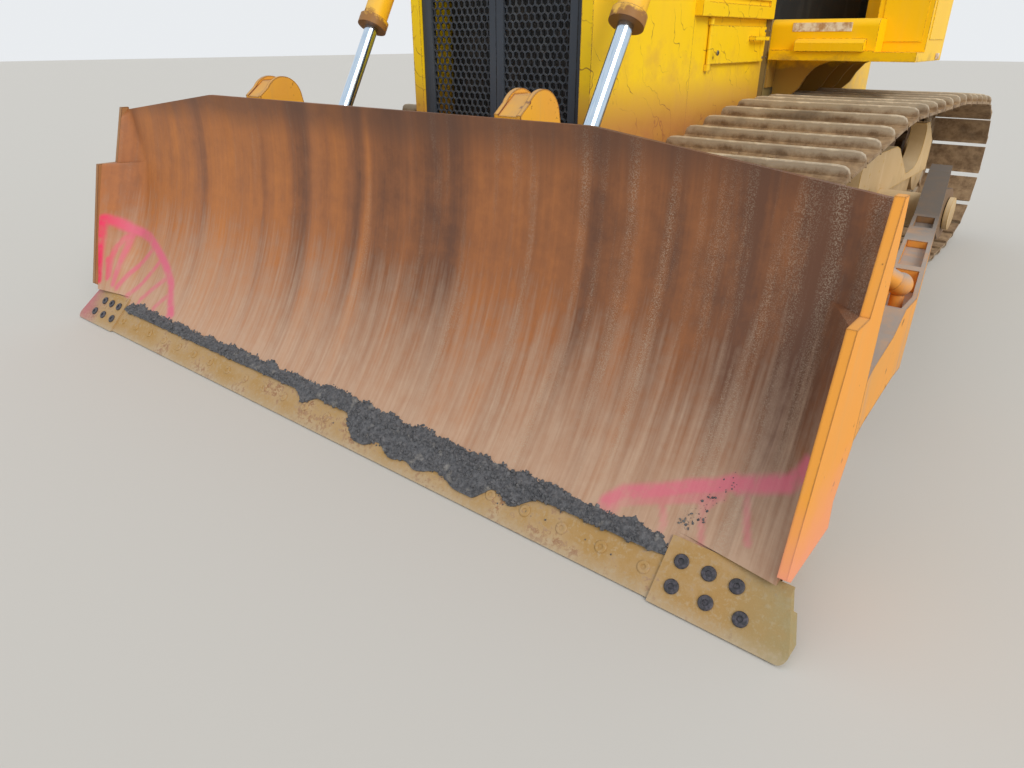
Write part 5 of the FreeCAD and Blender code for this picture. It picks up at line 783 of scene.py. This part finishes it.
# End plates, arms and beam behind the blade: welded plate with orange enamel baked pale, grey with trodden
# dust on top and pink with spray low on the machine's left.
arm_enamel = enamel("dusty_orange_arm_enamel", "#f2a33e", "#dca055", "#7d5236", "#a49a93", dusting=1.3, gloss=0.65,
                    wear=0.52, chip_mm=40.0, patches=(((0, 1, 0), -1.15, -0.55, "#5d554d", 0.85),))
coat_nodes(arm_enamel, "push_arm_left", "push_arm_right", "brace_left", "tilt_cylinder_right")
plate_enamel = enamel("faded_orange_plate_enamel", "#f6a436", "#eda347", "#94602f", "#d3ab7c", dusting=0.5, gloss=0.55,
                      wear=0.38, chip_mm=30.0, patches=(((0, 0, -1), -0.42, -0.15, "#f09a86", 0.75),))
coat_nodes(plate_enamel, "end_plate_left")
# The other end plate has lost its paint
rusted_plate = enamel("rusted_end_plate", "#94643f", "#a87a50", "#5f412d", "#ab947a", dusting=0.7, gloss=0.65,
                      wear=0.4, chip_mm=30.0)
coat_nodes(rusted_plate, "end_plate_right")
back_enamel = enamel("rusted_blade_back_enamel", "#f4b62c", "#e0a04a", "#7a4a2a", "#a5907a", dusting=0.8, gloss=0.6,
                     wear=0.58, chip_mm=40.0)
coat_nodes(back_enamel, "blade_back")


# Cutting edge and end bits: boron steel flats bolted through the moldboard's foot, with plough bolts whose
# heads lie flush. Mustard paint is left on them in patches under dust.
edge_finish, tree = new_material("scoured_mustard_edge_steel")
place = add(tree, "ShaderNodeTexCoord").outputs["Object"]
split = add(tree, "ShaderNodeSeparateXYZ", {0: place})
patch = add(tree, "ShaderNodeTexNoise", {"Vector": place, "Scale": 5.0, "Detail": 8.0, "Roughness": 0.65}).outputs["Fac"]
grit = add(tree, "ShaderNodeTexNoise", {"Vector": place, "Scale": 60.0, "Detail": 6.0, "Roughness": 0.7}).outputs["Fac"]
coat = blended(tree, mapped(tree, patch, 0.42, 0.62), colour("#a8854e"), colour("#b49a76"))
coat = blended(tree, mapped(tree, mathed(tree, "ADD", patch, grit), 1.06, 1.16), coat, colour("#8a5a34"))
coat = blended(tree, mapped(tree, grit, 0.52, 0.70, 0.0, 0.65), coat, colour("#b9a88d"))
outward = mathed(tree, "ABSOLUTE", split.outputs["X"], 0.0)
grey = mathed(tree, "MULTIPLY", mapped(tree, outward, 1.78, 1.97), mapped(tree, patch, 0.3, 0.6, 0.4, 0.9))
coat = blended(tree, grey, coat, colour("#8f8a66"))
lower = mathed(tree, "ADD", split.outputs["Z"], mapped(tree, grit, 0.3, 0.7, -0.02, 0.02))
coat = blended(tree, mapped(tree, lower, 0.035, 0.0, 0.0, 0.7), coat, colour("#b3a48c"))
smear = mathed(tree, "MULTIPLY", mapped(tree, split.outputs["X"], -1.78, -1.95), mapped(tree, patch, 0.4, 0.6))
coat = blended(tree, mathed(tree, "MULTIPLY", smear, 0.6), coat, colour("#c05a78"))
bump = add(tree, "ShaderNodeBump", {"Strength": 0.6, "Distance": 0.003, "Height": mathed(tree, "ADD", patch, grit)})
surface_of(tree, coat, 0.66, bump.outputs[0])
coat_nodes(edge_finish, "cutting_edge", "end_bit_left", "end_bit_right")

# Bolt heads: dark hardened steel in the bits' countersinks, dusty ones in the edge
bolt_finish, tree = new_material("dark_hardened_bolt_heads")
place = add(tree, "ShaderNodeTexCoord").outputs["Object"]
grit = add(tree, "ShaderNodeTexNoise", {"Vector": place, "Scale": 120.0, "Detail": 4.0}).outputs["Fac"]
coat = blended(tree, mapped(tree, grit, 0.4, 0.7), colour("#2f3036"), colour("#54505a"))
bump = add(tree, "ShaderNodeBump", {"Strength": 0.4, "Distance": 0.002, "Height": grit})
surface_of(tree, coat, 0.5, bump.outputs[0])
face_normal = Vector((0, -0.719, 0.695)).normalized()


def bolt_disc(radius, height):
    """A low domed disc with a round recess in its middle, at the origin with its face toward +Z."""
    rows = []
    for share, z in ((1.0, 0.0), (1.0, height * 0.6), (0.86, height), (0.42, height), (0.40, height * 0.35)):
        rows.append([(radius * share * math.cos(turn * math.pi / 10), radius * share * math.sin(turn * math.pi / 10), z)
                     for turn in range(20)])
    return lofted("bolt_disc", rows)


bolt_turn = face_normal.to_track_quat("Z", "Y").to_euler()
edge_bolts = []
for number in range(23):
    x = -1.555 + 0.1415 * number
    edge_bolts.append(((x, 0.0500 - STATION, 0.0582), bolt_turn, (1, 1, 1)))
edge_heads = repeated("edge_bolt_heads", bolt_disc(0.019, 0.004), edge_bolts, edge_finish)
bit_bolts = []
for side in (-1, 1):
    for x, z in ((1.654, 0.105), (1.734, 0.105), (1.813, 0.105), (1.655, 0.052), (1.755, 0.052), (1.851, 0.052)):
        bit_bolts.append(((side * x, (z - 0.006) * 0.9577 - 0.011 - STATION, z), bolt_turn, (1, 1, 1)))
bit_heads = repeated("bit_bolt_heads", bolt_disc(0.021, 0.007), bit_bolts, bolt_finish)
for piece in (edge_heads, bit_heads):
    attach(piece, "blade_frame")


# Gravel: crushed black stone and wet fines lie in the corner between the moldboard and its edge, spill over
# the edge right of the middle, and stick as crumbs along the left wing's fold.
# Crushed basalt, damp, with paler dry dust on a few faces
gravel_finish, tree = new_material("damp_crushed_basalt")
place = add(tree, "ShaderNodeTexCoord").outputs["Object"]
grain = add(tree, "ShaderNodeTexNoise", {"Vector": place, "Scale": 70.0, "Detail": 6.0, "Roughness": 0.7}).outputs["Fac"]
lump = add(tree, "ShaderNodeTexNoise", {"Vector": place, "Scale": 22.0, "Detail": 3.0}).outputs["Fac"]
coat = blended(tree, mapped(tree, grain, 0.35, 0.65), colour("#3c3e43"), colour("#67686c"))
coat = blended(tree, mapped(tree, lump, 0.6, 0.75, 0.0, 0.6), coat, colour("#9c9994"))
bump = add(tree, "ShaderNodeBump", {"Strength": 0.8, "Distance": 0.004, "Height": grain})
surface_of(tree, coat, mapped(tree, lump, 0.3, 0.6, 0.45, 0.85), bump.outputs[0])


def edge_at(z):
    """The cutting edge's front face, along the machine, at a height."""
    return (z - 0.006) * 0.9583 - STATION


def spilled(x):
    """How much gravel has run down over the edge at a place across, from 0 to 1."""
    ragged = noise.noise(Vector((x * 9.0, 3.1, 0.4)))
    inside = min(1.0, max(0.0, (x - 0.24) / 0.08)) * min(1.0, max(0.0, (1.17 - x) / 0.10))
    left_lump = max(0.0, 1.0 - abs(x + 0.02) / 0.07) * 0.5
    return max(0.0, min(1.0, inside * (0.85 + 0.8 * ragged) + left_lump))


def ridge_ring(x):
    """The heap's section at a place across, from the moldboard over its crest to the edge."""
    rough = noise.noise(Vector((x * 14.0, 0.7, 1.9)))
    wide = noise.noise(Vector((x * 3.0, 5.2, 0.1)))
    ends = max(0.15, min(1.0, (1.62 - abs(x)) / 0.06))
    top = 0.106 + (0.030 + 0.014 * rough + 0.012 * wide) * ends
    foot = 0.099 - 0.066 * spilled(x)
    crest = face_at(0, 0.118) - (0.016 + 0.006 * rough) * ends
    return [(x, face_at(0, top) + 0.004, top), (x, face_at(0, top) - 0.005 * ends, top - 0.003),
            (x, crest, 0.106 + 0.014 * ends), (x, edge_at(0.104) - 0.008 * ends, 0.106),
            (x, edge_at((foot + 0.10) / 2) - 0.012 * ends, (foot + 0.10) / 2 + 0.002),
            (x, edge_at(foot) - 0.006 * ends, foot + 0.003), (x, edge_at(foot) + 0.001, foot - 0.003),
            (x, edge_at(0.096) + 0.002, 0.096), (x, face_at(0, 0.112) + 0.004, 0.106)]


ridge_rows = []
for step in range(325):
    ring = []
    for x, y, z in ridge_ring(-1.62 + 0.01 * step):
        jolt = 0.0035 * noise.noise(Vector((x * 40.0, y * 60.0, z * 60.0)))
        ring.append((x, y - abs(jolt), z + jolt))
    ridge_rows.append(ring)
ridge = lofted("gravel_ridge", ridge_rows, finish=gravel_finish)


def stone():
    """One crushed stone about 20 mm across, with uneven flat faces."""
    built = bmesh.new()
    bmesh.ops.create_icosphere(built, subdivisions=1, radius=0.010)
    for number, point in enumerate(built.verts):
        point.co *= 0.75 + 0.5 * ((number * 7) % 12) / 12
    mesh = bpy.data.meshes.new("stone")
    built.to_mesh(mesh)
    built.free()
    made = bpy.data.objects.new("stone", mesh)
    bpy.context.scene.collection.objects.link(made)
    return made


random.seed(7)
stones = []
for number in range(3400):
    x = random.uniform(-1.61, 1.61)
    if number % 3 == 0:
        x = random.uniform(0.22, 1.18)
    ring = ridge_ring(x)
    first = random.choice((0, 1, 2, 2, 3, 3, 4, 4)) if spilled(x) > 0.3 else random.choice((0, 1, 2, 3))
    share = random.random()
    low, high = ring[first], ring[first + 1]
    spot = [a + (b - a) * share for a, b in zip(low, high)]
    size = random.choice((0.25, 0.3, 0.35, 0.4, 0.5, 0.6, 0.9))
    stones.append(((x, spot[1], spot[2]), [random.uniform(0, 6.3) for _ in range(3)], (size, size, size * 0.8)))
for number in range(130):
    x = random.gauss(0.72, 0.28)
    z = random.uniform(0.045, 0.10)
    size = random.uniform(0.15, 0.4)
    stones.append(((x, edge_at(z) - 0.001, z), [random.uniform(0, 6.3) for _ in range(3)], (size, size, size)))
for number in range(70):
    share = random.random() ** 1.5
    x = 1.612 + 0.105 * share + random.gauss(0, 0.012)
    z = 0.158 + 0.155 * share + abs(random.gauss(0, 0.010))
    size = random.choice((0.12, 0.16, 0.2, 0.3, 0.5))
    stones.append(((x, face_at(x, z), z), [random.uniform(0, 6.3) for _ in range(3)], (size, size, size * 0.6)))
gravel = repeated("gravel_stones", stone(), stones, gravel_finish)
for piece in (ridge, gravel):
    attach(piece, "blade_frame")


# Lift cylinders: a painted barrel with a rusty gland collar swings on its trunnions, and a chromed rod
# reaches down from it to the blade's bracket.
GLAND_WAY = (0.0, -0.514, -0.858)
GLAND_PLACE = -0.945 + 0.470
barrel_enamel = enamel("dusty_barrel_enamel", "#fcc423", "#f0bc42", "#7c5434", "#cdb48c", dusting=0.7, wear=0.26,
                       patches=((GLAND_WAY, GLAND_PLACE, GLAND_PLACE + 0.02, "#8a6040", 0.9),))
coat_nodes(barrel_enamel, "lift_barrel_left", "lift_barrel_right")
# Hard chrome, ground and polished, wiped clean by its seals. Its pale blue colour is a painted reflection of a blue
# sky.
chrome_finish, tree = new_material("hard_chromed_rod")
place = add(tree, "ShaderNodeTexCoord").outputs["Object"]
wiped = add(tree, "ShaderNodeVectorMath", {0: place, 1: (90.0, 6.0, 6.0)}, operation="MULTIPLY")
hairline = add(tree, "ShaderNodeTexNoise", {"Vector": wiped.outputs[0], "Scale": 3.0, "Detail": 4.0}).outputs["Fac"]
# Painted reflection: pale sky blue laid into the chrome's colour
coat = blended(tree, mapped(tree, hairline, 0.4, 0.7), colour("#d3e2f0"), colour("#b9cfe4"))
surface_of(tree, coat, mapped(tree, hairline, 0.3, 0.7, 0.10, 0.2), Metallic=1.0)
coat_nodes(chrome_finish, "lift_rod_left", "lift_rod_right")


# Small fittings of the body: door locks and bolts, the fenders' grip strips, toolbox lids and reflectors.
# Worn grip tape, white under trodden dirt
grip_finish, tree = new_material("trodden_grip_tape")
place = add(tree, "ShaderNodeTexCoord").outputs["Object"]
dirt = add(tree, "ShaderNodeTexNoise", {"Vector": place, "Scale": 26.0, "Detail": 8.0, "Roughness": 0.7}).outputs["Fac"]
sand = add(tree, "ShaderNodeTexNoise", {"Vector": place, "Scale": 900.0, "Detail": 2.0}).outputs["Fac"]
coat = blended(tree, mapped(tree, dirt, 0.42, 0.62), colour("#ebe4d8"), colour("#b9926a"))
bump = add(tree, "ShaderNodeBump", {"Strength": 0.7, "Distance": 0.001, "Height": sand})
surface_of(tree, coat, 0.9, bump.outputs[0])
# Zinc-plated screws and locks, dulled
zinc_finish, tree = new_material("dull_zinc_fasteners")
place = add(tree, "ShaderNodeTexCoord").outputs["Object"]
dirt = add(tree, "ShaderNodeTexNoise", {"Vector": place, "Scale": 140.0, "Detail": 4.0}).outputs["Fac"]
coat = blended(tree, mapped(tree, dirt, 0.4, 0.65), colour("#8f8f8b"), colour("#5f564a"))
surface_of(tree, coat, mapped(tree, dirt, 0.3, 0.7, 0.35, 0.6), Metallic=0.8)

for side, name in ((1, "left"), (-1, "right")):
    outward = (0, side * math.pi / 2, 0)
    door_face = side * 0.562
    lock = repeated(f"door_lock_{name}", bolt_disc(0.013, 0.005), [((door_face, -0.435, 1.335), outward, (1, 1, 1))],
                    zinc_finish)
    screws = repeated(f"door_screws_{name}", bolt_disc(0.007, 0.004), [
        ((door_face, y, z), outward, (1, 1, 1)) for y in (0.16, 0.215) for z in (1.305, 1.44)], zinc_finish)
    for piece in (lock, screws):
        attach(piece, f"engine_door_{name}")
    x0, x1 = sorted((side * 0.665, side * 0.985))
    grip = slabs(f"fender_grip_{name}", [((x0, 0.2925, 1.437), (x1, 0.2955, 1.481))], grip_finish, 0.001)
    x2, x3 = sorted((side * 1.095, side * 1.310))
    lids = slabs(f"toolbox_lids_{name}", [((x2, 0.430, 1.385), (x3, 0.436, 1.905))] + [
        (tuple(sorted((side * 1.333, side * 1.3375)))[0:1] + (0.480, 1.395),
         tuple(sorted((side * 1.333, side * 1.3375)))[1:2] + (0.830, 1.905))], fender_enamel, 0.003)
    handles = slabs(f"toolbox_catches_{name}", [((side * 1.2 - 0.03, 0.424, 1.62), (side * 1.2 + 0.03, 0.431, 1.645)),
                                                ((min(side * 1.337, side * 1.344), 0.64, 1.62),
                                                 (max(side * 1.337, side * 1.344), 0.68, 1.645))], zinc_finish)
    blocks = slabs(f"mudguard_reflectors_{name}", [((min(side * 1.332, side * 1.340), 0.72, 1.298),
                                                    (max(side * 1.332, side * 1.340), 0.80, 1.328))], grip_finish)
    for piece in (grip, lids, handles, blocks):
        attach(piece, "machine")


# Operator's seat: foam cushions under woven cloth, crowned and welted, on a black suspension base with arm
# rests. The consoles beside it stay as solids.
# Woven seat cloth, charcoal, with a fine weave and worn seat edges
cloth_finish, tree = new_material("woven_seat_cloth")
place = add(tree, "ShaderNodeTexCoord").outputs["Object"]
weave_x = add(tree, "ShaderNodeTexWave", {"Vector": place, "Scale": 90.0}, wave_type="BANDS", bands_direction="X")
weave_z = add(tree, "ShaderNodeTexWave", {"Vector": place, "Scale": 90.0}, wave_type="BANDS", bands_direction="Z")
weave = mathed(tree, "MULTIPLY", weave_x.outputs["Fac"], weave_z.outputs["Fac"])
rubbed_cloth = add(tree, "ShaderNodeTexNoise", {"Vector": place, "Scale": 6.0, "Detail": 5.0}).outputs["Fac"]
coat = blended(tree, weave, colour("#232427"), colour("#3a3c40"))
coat = blended(tree, mapped(tree, rubbed_cloth, 0.5, 0.7, 0.0, 0.5), coat, colour("#4d4a45"))
bump = add(tree, "ShaderNodeBump", {"Strength": 0.5, "Distance": 0.0015, "Height": weave})
surface_of(tree, coat, 0.92, bump.outputs[0], Sheen_Weight=0.4, Sheen_Roughness=0.5)


def cushion(name, low, high, lean=0.0, crown=0.35):
    """A stuffed pad between two corners: full in its middle, drawn in at a welt round its edge."""
    middle = Vector([(a + b) / 2 for a, b in zip(low, high)])
    half = [(b - a) / 2 for a, b in zip(low, high)]
    rows = []
    for lat in range(1, 20):
        up = math.pi * (lat / 20 - 0.5)
        ring = []
        for turn in range(48):
            around = 2 * math.pi * turn / 48
            flat = [math.copysign(abs(math.cos(around)) ** 0.32, math.cos(around)) * math.cos(up) ** 0.30,
                    math.copysign(abs(math.sin(around)) ** 0.32, math.sin(around)) * math.cos(up) ** 0.30]
            rise = math.copysign(abs(math.sin(up)) ** 0.55, math.sin(up))
            swell = 1.0 - crown * max(abs(flat[0]), abs(flat[1])) ** 3 * abs(rise)
            tuck = 1.0 - 0.05 * math.exp(-(rise / 0.12) ** 2)
            ring.append(Vector((flat[0] * half[0] * tuck, flat[1] * half[1] * tuck, rise * half[2] * swell)))
        rows.append(ring)
    turned = Matrix.Rotation(lean, 4, "X")
    pad = lofted(name, [[middle + turned @ point for point in ring] for ring in rows], finish=cloth_finish)
    pad.data.shade_smooth()
    return pad


seat_low, seat_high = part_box("operator_seat")
cushions = [
    cushion("seat_squab", (-0.25, seat_low.y + 0.01, 1.88), (0.25, seat_low.y + 0.50, 2.02), 0.05),
    cushion("seat_back", (-0.24, seat_high.y - 0.20, 1.98), (0.24, seat_high.y - 0.07, 2.42), -0.10, 0.25),
    cushion("seat_headrest", (-0.13, seat_high.y - 0.15, 2.36), (0.13, seat_high.y - 0.06, 2.50), -0.08, 0.2),
]
base = slabs("seat_base", [((-0.20, seat_low.y + 0.08, 1.541), (0.20, seat_low.y + 0.46, 1.60)),
                           ((-0.15, seat_low.y + 0.12, 1.60), (0.15, seat_low.y + 0.42, 1.84)),
                           ((-0.22, seat_low.y + 0.04, 1.83), (0.22, seat_low.y + 0.48, 1.89)),
                           ((-0.20, seat_high.y - 0.09, 1.86), (0.20, seat_high.y - 0.03, 2.36)),
                           ((-0.25, seat_low.y + 0.16, 2.16), (-0.20, seat_low.y + 0.46, 2.20)),
                           ((0.20, seat_low.y + 0.16, 2.16), (0.25, seat_low.y + 0.46, 2.20)),
                           ((-0.245, seat_high.y - 0.12, 2.10), (-0.205, seat_high.y - 0.04, 2.20)),
                           ((0.205, seat_high.y - 0.12, 2.10), (0.245, seat_high.y - 0.04, 2.20))],
             black_enamel, 0.008)
for piece in cushions + [base]:
    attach(piece, "machine")
    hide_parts("operator_seat")
